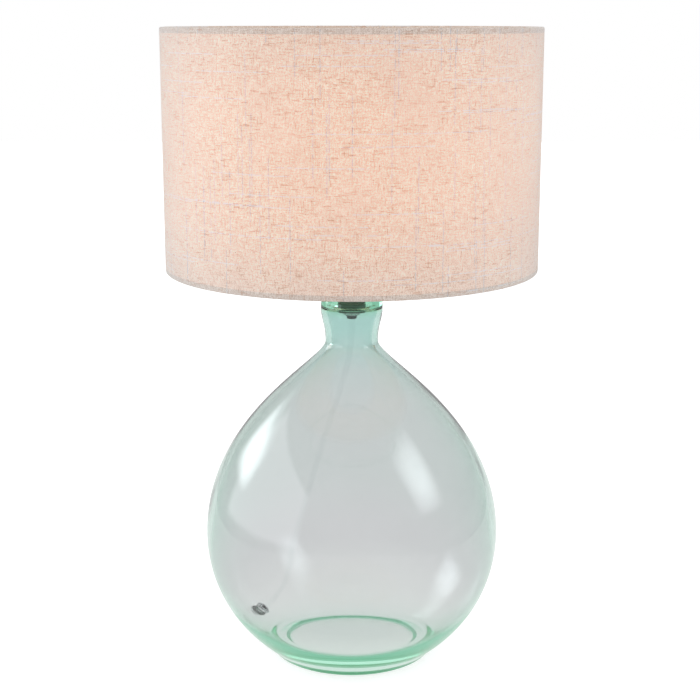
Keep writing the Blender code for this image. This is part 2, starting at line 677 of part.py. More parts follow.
# ---- bulb -------------------------------------------------------------------------------
def build_bulb():
    """A pear-shaped bulb, origin on its axis at the contact's tip."""
    axis = add_empty("bulb_axis", (0, 0, BULB_BOTTOM))
    turned(
        "bulb_contact_tip",
        [
            (0.0, BULB_TIP_HEIGHT),
            (BULB_TIP_RADIUS, BULB_TIP_HEIGHT),
            (BULB_TIP_RADIUS * 0.7, 0.0),
            (0.0, 0.0),
        ],
        dict(colour=(0.7, 0.7, 0.7), roughness=0.3, metallic=1.0),
        steps=16,
        closed=False,
        parent=axis,
    )
    low = BULB_TIP_HEIGHT + GAP
    high = low + BULB_INSULATOR_HEIGHT
    turned(
        "bulb_insulator",
        [
            (0.0, high),
            (BULB_CAP_RADIUS - 0.0022, high),
            (BULB_TIP_RADIUS + 0.0010, low),
            (0.0, low),
        ],
        dict(colour=(0.03, 0.03, 0.03), roughness=0.2),
        steps=BULB_STEPS,
        closed=False,
        parent=axis,
    )
    cap_low = high + GAP
    cap_high = cap_low + BULB_CAP_HEIGHT
    neck = BULB_CAP_RADIUS - 0.0004
    cap = [(0.0, cap_high), (neck, cap_high), (neck, cap_high - 0.0020)]
    for turn in range(4):
        z = cap_high - 0.0040 - turn * BULB_PITCH
        cap += [(BULB_CAP_RADIUS, z), (BULB_CAP_RADIUS - 0.0009, z - BULB_PITCH / 2)]
    cap += [(BULB_CAP_RADIUS - 0.0020, cap_low), (0.0, cap_low)]
    turned(
        "bulb_screw_cap",
        cap,
        dict(colour=(0.75, 0.75, 0.73), roughness=0.3, metallic=1.0),
        steps=BULB_STEPS,
        closed=False,
        parent=axis,
    )
    body_low = cap_high + GAP
    body_high = body_low + BULB_BODY_HEIGHT
    side = cubic(
        (BULB_BODY_RADIUS, body_high),
        (BULB_BODY_RADIUS - 0.0060, body_high - 0.0085),
        (BULB_BODY_FOOT_RADIUS, body_low + 0.0140),
        (BULB_BODY_FOOT_RADIUS, body_low),
        6,
    )
    turned(
        "bulb_body",
        [(0.0, body_high), (BULB_BODY_RADIUS, body_high)] + side + [(0.0, body_low)],
        dict(colour=(0.9, 0.9, 0.88), roughness=0.4),
        steps=BULB_STEPS,
        closed=False,
        parent=axis,
    )
    centre = BULB_LENGTH - BULB_RADIUS
    rim = body_high + GAP
    low_angle = -pi / 2 + pi * 0.245
    outer = arc((0.0, centre), BULB_RADIUS, pi / 2, low_angle, 9)
    foot = (BULB_RADIUS * cos(low_angle), max(rim, centre + BULB_RADIUS * sin(low_angle)))
    outer[0] = (0.0, centre + BULB_RADIUS)
    outer[-1] = foot
    inner = arc((0.0, centre), BULB_RADIUS - BULB_WALL, low_angle, pi / 2, 7)
    inner[0] = (foot[0] - BULB_WALL, foot[1])
    inner[-1] = (0.0, centre + BULB_RADIUS - BULB_WALL)
    turned(
        "bulb_globe",
        outer + inner,
        dict(colour=(0.95, 0.93, 0.88), roughness=0.5),
        steps=BULB_STEPS,
        closed=False,
        parent=axis,
    )


# ---- drum shade -------------------------------------------------------------------------
def hem(edge, inwards):
    """Middle line of the cloth from the outer wall over a wire ring and back on the lining.

    edge is the height of the shade's rim and inwards is +1 where the shade lies above it.
    """
    half = CLOTH / 2
    wall = SHADE_RADIUS - half
    leg = WIRE_RING_RADIUS - WIRE_RADIUS - GAP - half
    on_lining = SHADE_RADIUS - CLOTH - GAP - LINING - GAP - half
    flat = edge + inwards * half
    past_wire = edge + inwards * (CLOTH + GAP + 2 * WIRE_RADIUS + GAP + HEM_PAST_WIRE)
    return [
        (wall, edge + inwards * HEM_TURN),
        (wall - 0.0006, edge + inwards * 0.0009),
        (wall - 0.0018, flat),
        (leg, flat),
        (leg, past_wire),
        (on_lining, past_wire + inwards * HEM_CLOSE),
        (on_lining, edge + inwards * HEM_DEPTH),
    ]


def build_shade():
    axis = add_empty("shade_axis", (0, 0, 0))
    linen = dict(colour=(0.80, 0.68, 0.60), roughness=0.9)
    wire = dict(colour=(0.82, 0.80, 0.76), roughness=0.45, metallic=0.6)
    line = list(reversed(hem(SHADE_TOP, -1))) + hem(SHADE_BOTTOM, 1)
    cover = turned("shade_cover", line, linen, SHADE_STEPS, closed=False, parent=axis)
    shell = cover.modifiers.new("cloth", "SOLIDIFY")
    shell.thickness = CLOTH
    shell.offset = 0.0
    shell.use_even_offset = True
    for i in range(SPOKE_COUNT):
        cut(cover, hem_notch(i))

    lining_outer = SHADE_RADIUS - CLOTH - GAP
    turned(
        "shade_lining",
        tube_profile(
            lining_outer,
            lining_outer - LINING,
            WIRE_BOTTOM_Z + WIRE_RADIUS + GAP,
            WIRE_TOP_Z - WIRE_RADIUS - GAP,
        ),
        dict(colour=(0.92, 0.90, 0.86), roughness=0.5),
        SHADE_STEPS,
        parent=axis,
    )
    for name, z in (("top_wire_ring", WIRE_TOP_Z), ("bottom_wire_ring", WIRE_BOTTOM_Z)):
        loop = arc((WIRE_RING_RADIUS, z), WIRE_RADIUS, pi / 6, pi / 6 - 2 * pi, 6)[:-1]
        turned(name, loop, wire, SHADE_STEPS, parent=axis)
    turned(
        "fitter_ring",
        tube_profile(
            FITTER_RADIUS, FITTER_BORE_RADIUS, FITTER_BOTTOM, FITTER_BOTTOM + FITTER_THICKNESS
        ),
        wire,
        parent=axis,
    )
    for i in range(SPOKE_COUNT):
        build_spoke(i, wire, axis)


def spoke_turn(index):
    return SPOKE_AZIMUTH + 2 * pi * index / SPOKE_COUNT


def hem_notch(index):
    """Slit in the bottom hem where a spoke reaches the wire ring."""
    turn = spoke_turn(index)
    inner = WIRE_RING_RADIUS - WIRE_RADIUS - GAP - CLOTH - 0.0010
    outer = WIRE_RING_RADIUS + WIRE_RADIUS * 0.75
    low = SHADE_BOTTOM + CLOTH + 0.0002
    high = SHADE_BOTTOM + HEM_DEPTH + 0.0030
    mesh = bpy.data.meshes.new("hem_notch")
    bm = bmesh.new()
    bmesh.ops.create_cube(bm, size=1.0)
    bmesh.ops.scale(bm, vec=(outer - inner, 2 * WIRE_RADIUS + 4 * GAP, high - low), verts=bm.verts)
    bm.to_mesh(mesh)
    bm.free()
    notch = add_object(f"hem_notch_{index + 1}", mesh, collection="cutters")
    middle = (inner + outer) / 2
    notch.location = (middle * cos(turn), middle * sin(turn), (low + high) / 2)
    notch.rotation_euler = (0, 0, turn)
    return notch


def build_spoke(index, look, parent):
    """A round wire from the fitter ring out and down to the bottom wire ring."""
    turn = spoke_turn(index)
    start = FITTER_RADIUS + GAP
    end = WIRE_RING_RADIUS - WIRE_RADIUS - GAP
    stops = (
        (start, FITTER_MIDDLE),
        (start + 0.012, FITTER_MIDDLE),
        (end - 0.014, WIRE_BOTTOM_Z),
        (end, WIRE_BOTTOM_Z),
    )
    line = bpy.data.curves.new(f"spoke_{index + 1}", "CURVE")
    line.dimensions = "3D"
    line.bevel_depth = WIRE_RADIUS
    line.bevel_resolution = 2
    line.use_fill_caps = True
    spline = line.splines.new("POLY")
    spline.points.add(len(stops) - 1)
    for point, (r, z) in zip(spline.points, stops):
        point.co = (r, 0.0, z, 1.0)
    spoke = add_object(f"spoke_{index + 1}", line, look, parent)
    spoke.rotation_euler = (0, 0, turn)


# ---- cable gland ------------------------------------------------------------------------
def build_gland():
    """Hollow bolt through the wall with a seal on each face of the glass and a nut inside."""
    point, out = gland_axis()
    axis = add_empty("gland_axis", point, out)
    black = dict(colour=(0.06, 0.06, 0.06), roughness=0.8)
    grey = dict(colour=(0.20, 0.21, 0.22), roughness=0.4, metallic=0.6)
    bore = NIPPLE_CLEAR_RADIUS
    low = GAP + 0.0001
    turned(
        "gland_outer_seal",
        tube_profile(GLAND_SEAL_RADIUS, bore, low, low + GLAND_SEAL_THICKNESS),
        black,
        parent=axis,
    )
    flange = low + GLAND_SEAL_THICKNESS + GAP
    seat = -gland_depth()
    nut_top = seat - GLAND_SEAL_THICKNESS - GAP
    stem_end = nut_top - NUT_HEIGHT - GLAND_STEM_BEYOND_NUT
    collar = flange + GLAND_FLANGE_THICKNESS + GLAND_COLLAR_LENGTH
    body = [
        (GLAND_COLLAR_RADIUS - 0.0010, collar),
        (GLAND_COLLAR_RADIUS, collar - 0.0010),
        (GLAND_COLLAR_RADIUS, flange + GLAND_FLANGE_THICKNESS),
        (GLAND_FLANGE_RADIUS - 0.0004, flange + GLAND_FLANGE_THICKNESS),
        (GLAND_FLANGE_RADIUS, flange + GLAND_FLANGE_THICKNESS - 0.0004),
        (GLAND_FLANGE_RADIUS, flange),
        (NIPPLE_RADIUS, flange),
        (NIPPLE_RADIUS, stem_end),
        (NIPPLE_BORE_RADIUS, stem_end),
        (NIPPLE_BORE_RADIUS, collar),
    ]
    turned("gland_body", body, grey, steps=24, parent=axis)
    turned(
        "gland_inner_seal",
        tube_profile(GLAND_SEAL_RADIUS, bore, seat - GLAND_SEAL_THICKNESS, seat),
        black,
        parent=axis,
    )
    hex_nut("gland_nut", NUT_ACROSS_FLATS, NUT_HEIGHT, bore, nut_top - NUT_HEIGHT / 2, grey, axis)


# ---- flex -------------------------------------------------------------------------------
def smooth_route(stops, step):
    """Evenly spaced points on a smooth curve through the stops."""
    fine = []
    padded = [2 * stops[0] - stops[1]] + stops + [2 * stops[-1] - stops[-2]]
    for p0, p1, p2, p3 in zip(padded, padded[1:], padded[2:], padded[3:]):
        for i in range(24):
            t = i / 24
            fine.append(
                0.5
                * (
                    2 * p1
                    + (p2 - p0) * t
                    + (2 * p0 - 5 * p1 + 4 * p2 - p3) * t * t
                    + (3 * p1 - p0 - 3 * p2 + p3) * t**3
                )
            )
    fine.append(stops[-1])
    lengths = [0.0]
    for a, b in zip(fine, fine[1:]):
        lengths.append(lengths[-1] + (b - a).length)
    count = max(2, round(lengths[-1] / step))
    route = []
    for i in range(count + 1):
        at = lengths[-1] * i / count
        k = next((j for j in range(1, len(lengths)) if lengths[j] >= at - 1e-12), len(fine) - 1)
        share = (at - lengths[k - 1]) / (lengths[k] - lengths[k - 1])
        route.append(fine[k - 1].lerp(fine[k], share))
    return route


def cord(name, route, radius, look):
    line = bpy.data.curves.new(name, "CURVE")
    line.dimensions = "3D"
    line.bevel_depth = radius
    line.bevel_resolution = 2
    line.use_fill_caps = True
    spline = line.splines.new("POLY")
    spline.points.add(len(route) - 1)
    for point, place in zip(spline.points, route):
        point.co = (*place, 1.0)
    return add_object(name, line, look)


def flex_stops():
    """From inside the holder cap down the nipple, across the bottle and out through the gland."""
    point, out = gland_axis()
    depth = gland_depth()
    top = NIPPLE_TOP + FLEX_BEYOND_NIPPLE
    stops = [Vector((0, 0, top)), Vector((0, 0, NIPPLE_TOP - 0.0100)), Vector((0, 0, NUT_BOTTOM))]
    stops += [Vector((0, 0, NIPPLE_BOTTOM - 0.0090))]
    stops += [Vector(p) for p in FLEX_BEND]
    stops += [point - out * (depth + 0.0150), point - out * (depth * 0.5), point + out * 0.0040]
    return stops


def build_flex():
    clear = dict(colour=(0.75, 0.78, 0.76), roughness=0.2, transmission=0.8)
    cord("inner_flex", smooth_route(flex_stops(), FLEX_STEP), FLEX_RADIUS, clear)
    top = NIPPLE_TOP + FLEX_BEYOND_NIPPLE + CORE_RADIUS
    inner = CORE_RADIUS + GAP / 2
    cores = (("live_core", 1, (0.25, 0.12, 0.05)), ("neutral_core", -1, (0.05, 0.12, 0.35)))
    for name, side, colour in cores:
        stops = [
            Vector((side * inner, 0, top)),
            Vector((side * inner, 0, top + 0.0018)),
            Vector((side * TERMINAL_SPREAD, 0, INSERT_BOTTOM - 0.0018)),
            Vector((side * TERMINAL_SPREAD, 0, INSERT_BOTTOM + 0.0015)),
        ]
        cord(name, smooth_route(stops, CORE_STEP), CORE_RADIUS, dict(colour=colour, roughness=0.4))


clear_scene()
build_bottle()
build_mouth_fitting()
build_holder()
build_shade_rings()
build_bulb()
build_shade()
build_gland()
build_flex()
for piece in bpy.data.collections["table_lamp"].objects:
    if piece.type == "MESH":
        shade_smooth(piece.data)
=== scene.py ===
"""Table lamp with a drum shade: green glass bottle, its fitting, lampholder, bulb and linen cover."""

import math

import bmesh
import bpy
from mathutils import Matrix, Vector


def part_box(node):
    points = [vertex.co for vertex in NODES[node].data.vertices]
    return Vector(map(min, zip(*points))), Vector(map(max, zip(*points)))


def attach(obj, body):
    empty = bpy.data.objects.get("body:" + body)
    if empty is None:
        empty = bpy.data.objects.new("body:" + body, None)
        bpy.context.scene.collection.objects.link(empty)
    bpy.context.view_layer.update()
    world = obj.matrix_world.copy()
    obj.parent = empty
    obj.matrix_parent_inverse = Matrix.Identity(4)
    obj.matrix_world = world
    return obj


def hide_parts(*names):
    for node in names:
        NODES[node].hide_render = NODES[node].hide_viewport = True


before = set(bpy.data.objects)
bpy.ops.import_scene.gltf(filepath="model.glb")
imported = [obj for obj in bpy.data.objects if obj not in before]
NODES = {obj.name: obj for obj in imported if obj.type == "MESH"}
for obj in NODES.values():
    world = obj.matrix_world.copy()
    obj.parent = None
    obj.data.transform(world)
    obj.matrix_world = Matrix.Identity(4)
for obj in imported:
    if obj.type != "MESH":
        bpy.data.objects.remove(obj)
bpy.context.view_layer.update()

# ==== Camera =====================================================================================
# A long lens 1.6 m in front of the lamp and just above the top of the shade, looking 12.6 degrees
# down on the whole lamp.
camera_data = bpy.data.cameras.new("studio_camera")
camera_data.sensor_width = 36.0
camera_data.lens = 76.4
camera = bpy.data.objects.new("studio_camera", camera_data)
bpy.context.scene.collection.objects.link(camera)
camera.location = (-0.0019, -1.5893, 0.6994)
camera.rotation_euler = (math.radians(77.38), 0.0, 0.0)
bpy.context.scene.camera = camera


# ==== Flex inside the bottle =====================================================================
# A clear round cable with two cores, 6 mm thick and 0.425 m long. It drops from the lampholder
# through the nipple, crosses the bottle and goes out through the gland low in the wall.
class Signal:
    """An output of a shader node that sums, products and powers can be written on."""

    def __init__(self, nodes, socket):
        self.nodes = nodes
        self.socket = socket

    def beside(self, output):
        """Another output of the same node."""
        return Signal(self.nodes, self.socket.node.outputs[output])

    def math(self, operation, *values):
        return self.nodes.node("ShaderNodeMath", {"operation": operation}, dict(enumerate(values)))

    def __add__(self, other):
        return self.math("ADD", self, other)

    def __sub__(self, other):
        return self.math("SUBTRACT", self, other)

    def __rsub__(self, other):
        return self.math("SUBTRACT", other, self)

    def __mul__(self, other):
        return self.math("MULTIPLY", self, other)

    def __truediv__(self, other):
        return self.math("DIVIDE", self, other)

    def __pow__(self, other):
        return self.math("POWER", self, other)

    def __gt__(self, other):
        return self.math("GREATER_THAN", self, other)

    def __lt__(self, other):
        return self.math("LESS_THAN", self, other)

    __radd__ = __add__
    __rmul__ = __mul__


class Nodes:
    """The node tree of a material or of the world."""

    def __init__(self, owner):
        owner.use_nodes = True
        self.tree = owner.node_tree

    def feed(self, socket, value):
        if isinstance(value, Signal):
            self.tree.links.new(value.socket, socket)
        elif socket.type == "RGBA" and len(value) == 3:
            socket.default_value = (*value, 1.0)
        else:
            socket.default_value = value

    def node(self, kind, settings=None, sockets=None, output=0):
        """Adds a node: its settings first, then the values or links of its sockets."""
        made = self.tree.nodes.new(kind)
        for key, value in (settings or {}).items():
            setattr(made, key, value)
        for key, value in (sockets or {}).items():
            self.feed(made.inputs[key], value)
        return Signal(self, made.outputs[output])


class Finish(Nodes):
    """The material of one kind of surface, on a Principled shader."""

    def __init__(self, name, sockets):
        self.material = bpy.data.materials.new(name)
        super().__init__(self.material)
        self.shader = self.tree.nodes["Principled BSDF"]
        self.set(sockets)

    def set(self, sockets):
        for key, value in sockets.items():
            self.feed(self.shader.inputs[key], value)

    def place(self, stretch=(1.0, 1.0, 1.0)):
        """Position on the piece in metres, stretched along each axis."""
        here = self.node("ShaderNodeTexCoord", output=3)
        return self.node("ShaderNodeMapping", {}, {"Vector": here, "Scale": stretch})

    def noise(self, scale, detail=3.0, stretch=(1.0, 1.0, 1.0), where=None):
        """Soft noise from 0 to 1, so many features a metre."""
        where = where or self.place(stretch)
        sockets = {"Vector": where, "Scale": scale, "Detail": detail}
        return self.node("ShaderNodeTexNoise", {}, sockets)

    def blend(self, share, low, high):
        """From one colour to another as share goes from 0 to 1."""
        return self.node("ShaderNodeMix", {"data_type": "RGBA"}, {0: share, 6: low, 7: high}, 2)

    def colour(self, share, low, high):
        """The base colour goes from low to high as share goes from 0 to 1."""
        self.set({"Base Color": self.blend(share, low, high)})

    def spread(self, signal, low, high):
        """Signal stretched so that low becomes 0 and high becomes 1."""
        limits = {"Value": signal, "From Min": low, "From Max": high}
        return self.node("ShaderNodeMapRange", {"clamp": True}, limits)

    def relief(self, height, depth):
        """Bump of so many metres where height is 1."""
        bump = self.node("ShaderNodeBump", {}, {"Height": height, "Distance": depth, "Strength": 1.0})
        self.set({"Normal": bump})

    def put_on(self, *pieces):
        """The only material of these pieces, which may be CAD node names."""
        for piece in pieces:
            mesh = (NODES[piece] if isinstance(piece, str) else piece).data
            mesh.materials.clear()
            mesh.materials.append(self.material)


def paint(red, green, blue):
    """A colour from its display values, 0 to 255."""
    shares = (value / 255.0 for value in (red, green, blue))
    return tuple(s / 12.92 if s <= 0.04045 else ((s + 0.055) / 1.055) ** 2.4 for s in shares)


def smooth_route(stops, count=10):
    """Points of a smooth curve through the stops, so many from each to the next."""
    found = []
    stops = [Vector(stop) for stop in stops]
    padded = [2 * stops[0] - stops[1]] + stops + [2 * stops[-1] - stops[-2]]
    for p0, p1, p2, p3 in zip(padded, padded[1:], padded[2:], padded[3:]):
        for i in range(count):
            t = i / count
            line = 2 * p1 + (p2 - p0) * t + (2 * p0 - 5 * p1 + 4 * p2 - p3) * t * t
            found.append(0.5 * (line + (3 * p1 - p0 - 3 * p2 + p3) * t**3))
    return found + [stops[-1]]


def round_wire(name, route, radius):
    """A round bar along a route, as a curve with closed ends."""
    line = bpy.data.curves.new(name, "CURVE")
    line.dimensions = "3D"
    line.bevel_depth = radius
    line.bevel_resolution = 6
    line.use_fill_caps = True
    spline = line.splines.new("POLY")
    spline.points.add(len(route) - 1)
    for point, place in zip(spline.points, route):
        point.co = (*place, 1.0)
    piece = bpy.data.objects.new(name, line)
    bpy.context.scene.collection.objects.link(piece)
    return piece


FLEX_RADIUS = 0.0030
FLEX_STOPS = (
    (0.0, 0.0, 0.4231), (0.0, 0.0, 0.4091), (0.0, 0.0, 0.3839), (0.0, 0.0, 0.3719),
    (-0.0040, 0.0013, 0.3300), (-0.0190, 0.0063, 0.2760), (-0.0370, 0.0123, 0.2180),
    (-0.0540, 0.0180, 0.1600), (-0.0680, 0.0227, 0.1080), (-0.0755, 0.0252, 0.0720),
    (-0.0941, 0.0315, 0.0421), (-0.1071, 0.0358, 0.0288), (-0.1126, 0.0377, 0.0232),
)
flex_route = smooth_route(FLEX_STOPS)
flex_length = sum((b - a).length for a, b in zip(flex_route, flex_route[1:]))
flex = round_wire("inner_flex_clear", flex_route, FLEX_RADIUS)
clear_flex = Finish("clear_flex", {"Transmission Weight": 1.0, "IOR": 1.015, "Roughness": 0.0})
clear_flex.colour(clear_flex.noise(260.0, 2.0), (0.94, 0.95, 0.95), (0.98, 0.985, 0.985))
clear_flex.put_on(flex)
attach(flex, "base")
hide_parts("inner_flex")

# Inside the holder cap its two insulated cores fan out of the clear sheath, up to the terminals.
for core, dark, pale in (
    ("live_core", (66, 34, 18), (92, 50, 28)),
    ("neutral_core", (18, 48, 110), (32, 66, 140)),
):
    sleeve = Finish(core + "_sleeve", {"Roughness": 0.38})
    sleeve.colour(sleeve.noise(900.0, 2.0), paint(*dark), paint(*pale))
    sleeve.relief(sleeve.noise(1500.0, 2.0), 0.00004)
    sleeve.put_on(core)


# ==== Glass bottle ===============================================================================
# A blown demijohn in pale green recycled glass, 325 mm across and 408 mm high. It has a thick rolled
# lip, a heavy belly and a shallow hollow under the foot it stands on. One hole takes the gland.
def curve(start, lead, trail, end, count):
    """Points of a cubic curve in radius and height, without its first one."""
    found = []
    for i in range(1, count + 1):
        t = i / count
        a, b, c, d = (1 - t) ** 3, 3 * (1 - t) ** 2 * t, 3 * (1 - t) * t * t, t**3
        corners = zip(start, lead, trail, end)
        found.append(tuple(a * p + b * q + c * r + d * s for p, q, r, s in corners))
    return found


def arc(centre, radius, first, last, count):
    """Points of an arc in radius and height, angles in degrees."""
    turns = [math.radians(first + (last - first) * i / count) for i in range(count + 1)]
    return [(centre[0] + radius * math.cos(a), centre[1] + radius * math.sin(a)) for a in turns]


def lathe(name, outline, steps=96, crease=35.0, turn=2 * math.pi):
    """Turns a piece: a chain of points is extruded from one vertex, then spun round the axis."""
    bpy.ops.object.select_all(action="DESELECT")
    bpy.ops.mesh.primitive_plane_add(size=0.001)
    piece = bpy.context.active_object
    piece.name = piece.data.name = name
    bpy.ops.object.mode_set(mode="EDIT")
    bpy.ops.mesh.select_all(action="SELECT")
    bpy.ops.mesh.merge(type="CENTER")
    bpy.ops.transform.translate(value=(outline[0][0], 0.0, outline[0][1]))
    for (r0, z0), (r1, z1) in zip(outline, outline[1:]):
        bpy.ops.mesh.extrude_vertices_move(TRANSFORM_OT_translate={"value": (r1 - r0, 0.0, z1 - z0)})
    bpy.ops.mesh.select_all(action="SELECT")
    bpy.ops.mesh.spin(steps=steps, angle=turn, center=(0, 0, 0), axis=(0, 0, 1))
    bpy.ops.mesh.select_all(action="SELECT")
    bpy.ops.mesh.remove_doubles(threshold=0.000005)
    bpy.ops.mesh.normals_make_consistent(inside=False)
    bpy.ops.object.mode_set(mode="OBJECT")
    bpy.ops.object.shade_smooth_by_angle(angle=math.radians(crease))
    return piece


def stand(piece, body, slot, *nodes):
    """The piece rides on its body and stands for its CAD nodes."""
    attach(piece, body)
    if nodes:
        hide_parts(*nodes)


def settle(piece, turn, place):
    """Turns a piece by a quaternion and moves it, then puts that place into its mesh."""
    piece.rotation_mode = "QUATERNION"
    piece.rotation_quaternion = turn
    piece.location = place
    bpy.ops.object.select_all(action="DESELECT")
    piece.select_set(True)
    bpy.context.view_layer.objects.active = piece
    bpy.ops.object.transform_apply(location=True, rotation=True, scale=True)


def cut_with(piece, cutter, operation="DIFFERENCE"):
    """Cuts or trims a piece with another, which is then removed."""
    step = piece.modifiers.new("cut", "BOOLEAN")
    step.operation = operation
    step.solver = "EXACT"
    step.object = cutter
    bpy.ops.object.select_all(action="DESELECT")
    piece.select_set(True)
    bpy.context.view_layer.objects.active = piece
    bpy.ops.object.modifier_apply(modifier=step.name)
    bpy.data.objects.remove(cutter, do_unlink=True)


BELLY_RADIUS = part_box("glass_bottle")[1].x
MOUTH_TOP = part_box("glass_bottle")[1].z
BELLY_HEIGHT = 0.1373
FLANK = math.radians(49.5)
FOOT_EDGE = (0.0946, 0.0066)
FOOT_FLAT = (0.0765, 0.0860)
NECK = (0.0288, MOUTH_TOP - 0.0536)
LIP = (0.0337, MOUTH_TOP - 0.0158)
LEDGE = MOUTH_TOP - 0.0150
MOUTH_RADIUS = 0.0155
WALL = 0.0045
HEAVIER = 0.0030
INNER_BELLY = (BELLY_RADIUS - WALL, BELLY_HEIGHT)
INNER_NECK = (NECK[0] - 0.0068, NECK[1])
INNER_LIP = (LIP[0] - 0.0057, LEDGE - 0.0030)
FLOOR_EDGE = (FOOT_FLAT[0], 0.0110)

inside = [(0.0, 0.0140), (0.0150, 0.0139), (0.0300, 0.0136), (0.0459, 0.0130), (0.0620, 0.0121)]
inside.append(FLOOR_EDGE)
lower_lead, lower_trail = (0.1106, 0.0214), (INNER_BELLY[0], BELLY_HEIGHT - 0.0800)
upper_lead, upper_trail = (INNER_BELLY[0], BELLY_HEIGHT + 0.1285), (INNER_NECK[0], NECK[1] - 0.0230)
lower = curve(FLOOR_EDGE, lower_lead, lower_trail, INNER_BELLY, 30)
upper = curve(INNER_BELLY, upper_lead, upper_trail, INNER_NECK, 34)
for r, z in lower + upper:
    eased = [min(max(share, 0.0), 1.0) for share in ((z - 0.085) / 0.080, (0.345 - z) / 0.110)]
    inside.append((r - HEAVIER * math.prod(share * share * (3 - 2 * share) for share in eased), z))
throat_lead, throat_trail = (INNER_NECK[0], NECK[1] + 0.0180), (INNER_LIP[0], INNER_LIP[1] - 0.0100)
inside += curve(INNER_NECK, throat_lead, throat_trail, INNER_LIP, 10)
inside += arc((INNER_LIP[0] - 0.0030, INNER_LIP[1]), 0.0030, 0.0, 90.0, 6)[1:]
inside += [
    (MOUTH_RADIUS + 0.0010, LEDGE), (MOUTH_RADIUS + 0.0003, LEDGE + 0.0003),
    (MOUTH_RADIUS, LEDGE + 0.0010), (MOUTH_RADIUS, MOUTH_TOP - 0.0015),
    (MOUTH_RADIUS + 0.0004, MOUTH_TOP - 0.0004), (MOUTH_RADIUS + 0.0015, MOUTH_TOP),
]
lip_flat = (LIP[0] - 0.0095, MOUTH_TOP)
over_lip = [lip_flat]
over_lip += curve(lip_flat, (LIP[0] - 0.0030, MOUTH_TOP), (LIP[0], MOUTH_TOP - 0.0050), LIP, 10)

BELLY = (BELLY_RADIUS, BELLY_HEIGHT)
down = curve(LIP, (LIP[0], LIP[1] - 0.0160), (NECK[0], NECK[1] + 0.0200), NECK, 12)
down += curve(NECK, (NECK[0], NECK[1] - 0.0218), (BELLY_RADIUS, BELLY_HEIGHT + 0.1308), BELLY, 40)
foot_lead = (FOOT_EDGE[0] + 0.0075 * math.cos(FLANK), FOOT_EDGE[1] + 0.0075 * math.sin(FLANK))
down += curve(BELLY, (BELLY_RADIUS, BELLY_HEIGHT - 0.0850), foot_lead, FOOT_EDGE, 26)
heel = (FOOT_EDGE[0] - 0.0030 * math.cos(FLANK), FOOT_EDGE[1] - 0.0030 * math.sin(FLANK))
down += curve(FOOT_EDGE, heel, (FOOT_FLAT[1] + 0.0045, 0.0), (FOOT_FLAT[1], 0.0), 8)
under = [(FOOT_FLAT[0], 0.0)]
hollow = [(FOOT_FLAT[0] - x, z) for x, z in ((0.0020, 0.0), (0.0030, 0.0024), (0.0060, 0.0031))]
under += curve(under[0], *hollow, 6)
under += curve(under[-1], (0.0500, 0.0044), (0.0250, 0.0050), (0.0, 0.0050), 8)
bottle = lathe("bottle_blown_glass", inside + over_lip + down + under, steps=160)

GLAND_POINT = Vector((-0.10986, 0.03676, 0.0260))
GLAND_OUT = Vector((-0.68046, 0.22768, -0.69652)).normalized()
gland_turn = GLAND_OUT.to_track_quat("Z", "Y")
bpy.ops.mesh.primitive_cylinder_add(vertices=64, radius=0.0055, depth=0.0460)
gland_hole = bpy.context.active_object
settle(gland_hole, gland_turn, GLAND_POINT)
cut_with(bottle, gland_hole)
bpy.ops.object.shade_smooth_by_angle(angle=math.radians(35.0))

bottle_glass = Finish("bottle_glass", {"Transmission Weight": 1.0, "IOR": 1.5, "Roughness": 0.0})
rise = bottle_glass.node("ShaderNodeSeparateXYZ", {}, {0: bottle_glass.place()}, 2)
clouds = bottle_glass.noise(9.0, 2.0)
tint = bottle_glass.blend(clouds, (0.825, 0.785, 0.81), (0.855, 0.815, 0.84))
for pale, full, tint_there in (
    (0.30, 0.37, (0.66, 0.79, 0.78)),  # neck
    (LEDGE - 0.010, LEDGE, (0.56, 0.80, 0.68)),  # lip
    (0.075, 0.022, (0.93, 0.905, 0.905)),  # foot
):
    tint = bottle_glass.blend(bottle_glass.spread(rise, pale, full), tint, tint_there)

# Seen at a slant the glass is greener, most of all near the foot.
slant = bottle_glass.node("ShaderNodeLayerWeight", {}, {"Blend": 0.5}, "Facing") ** 3.5
rim_tint = (0.58, 0.75, 0.68), (0.16, 0.50, 0.34)
rim_tint = bottle_glass.blend(bottle_glass.spread(rise, 0.20, 0.06), *rim_tint)
bottle_glass.colour(slant, tint, rim_tint)

# A pale green glow is painted into the glass near the foot, where light has turned back inside
# it more than twice: a stand-in for light that goes on bouncing round in the glass there.
turns = bottle_glass.node("ShaderNodeLightPath", output="Glossy Depth")
painted_mint_share = (turns > 2.5) * bottle_glass.spread(rise, 0.17, 0.06)
painted_mint_glow = bottle_glass.blend(painted_mint_share, (0.0, 0.0, 0.0), (0.10, 0.22, 0.165))
bottle_glass.set({"Emission Color": painted_mint_glow, "Emission Strength": 1.0})
bottle_glass.relief(bottle_glass.noise(14.0, 1.0, stretch=(1.0, 1.0, 0.5)), 0.0006)
green = {"Color": (0.30, 0.82, 0.62), "Density": 20.0}
green = bottle_glass.node("ShaderNodeVolumeAbsorption", {}, green)
bottle_glass.feed(bottle_glass.tree.nodes["Material Output"].inputs["Volume"], green)
bottle_glass.put_on(bottle)
stand(bottle, "base", "bottle_glass", "glass_bottle")


# ==== Clamp fitting in the mouth =================================================================
# A hollow threaded nipple holds a plated cover plate on the lip and, below the rubber bung that
# fills the mouth, a washer and a thin nut. A dark bush on its end keeps the flex off the edge.
def threads(radius, depth, low, high, pitch):
    """Outline of a thread from low to high, cut this deep into a bar of this radius."""
    count = int((high - low) / pitch)
    found = []
    for i in range(count):
        z = low + i * pitch
        found += [(radius - depth, z), (radius - depth * 0.9, z + pitch * 0.12)]
        found += [(radius, z + pitch * 0.44), (radius, z + pitch * 0.56)]
        found.append((radius - depth * 0.9, z + pitch * 0.88))
    return found + [(radius - depth, low + count * pitch)]


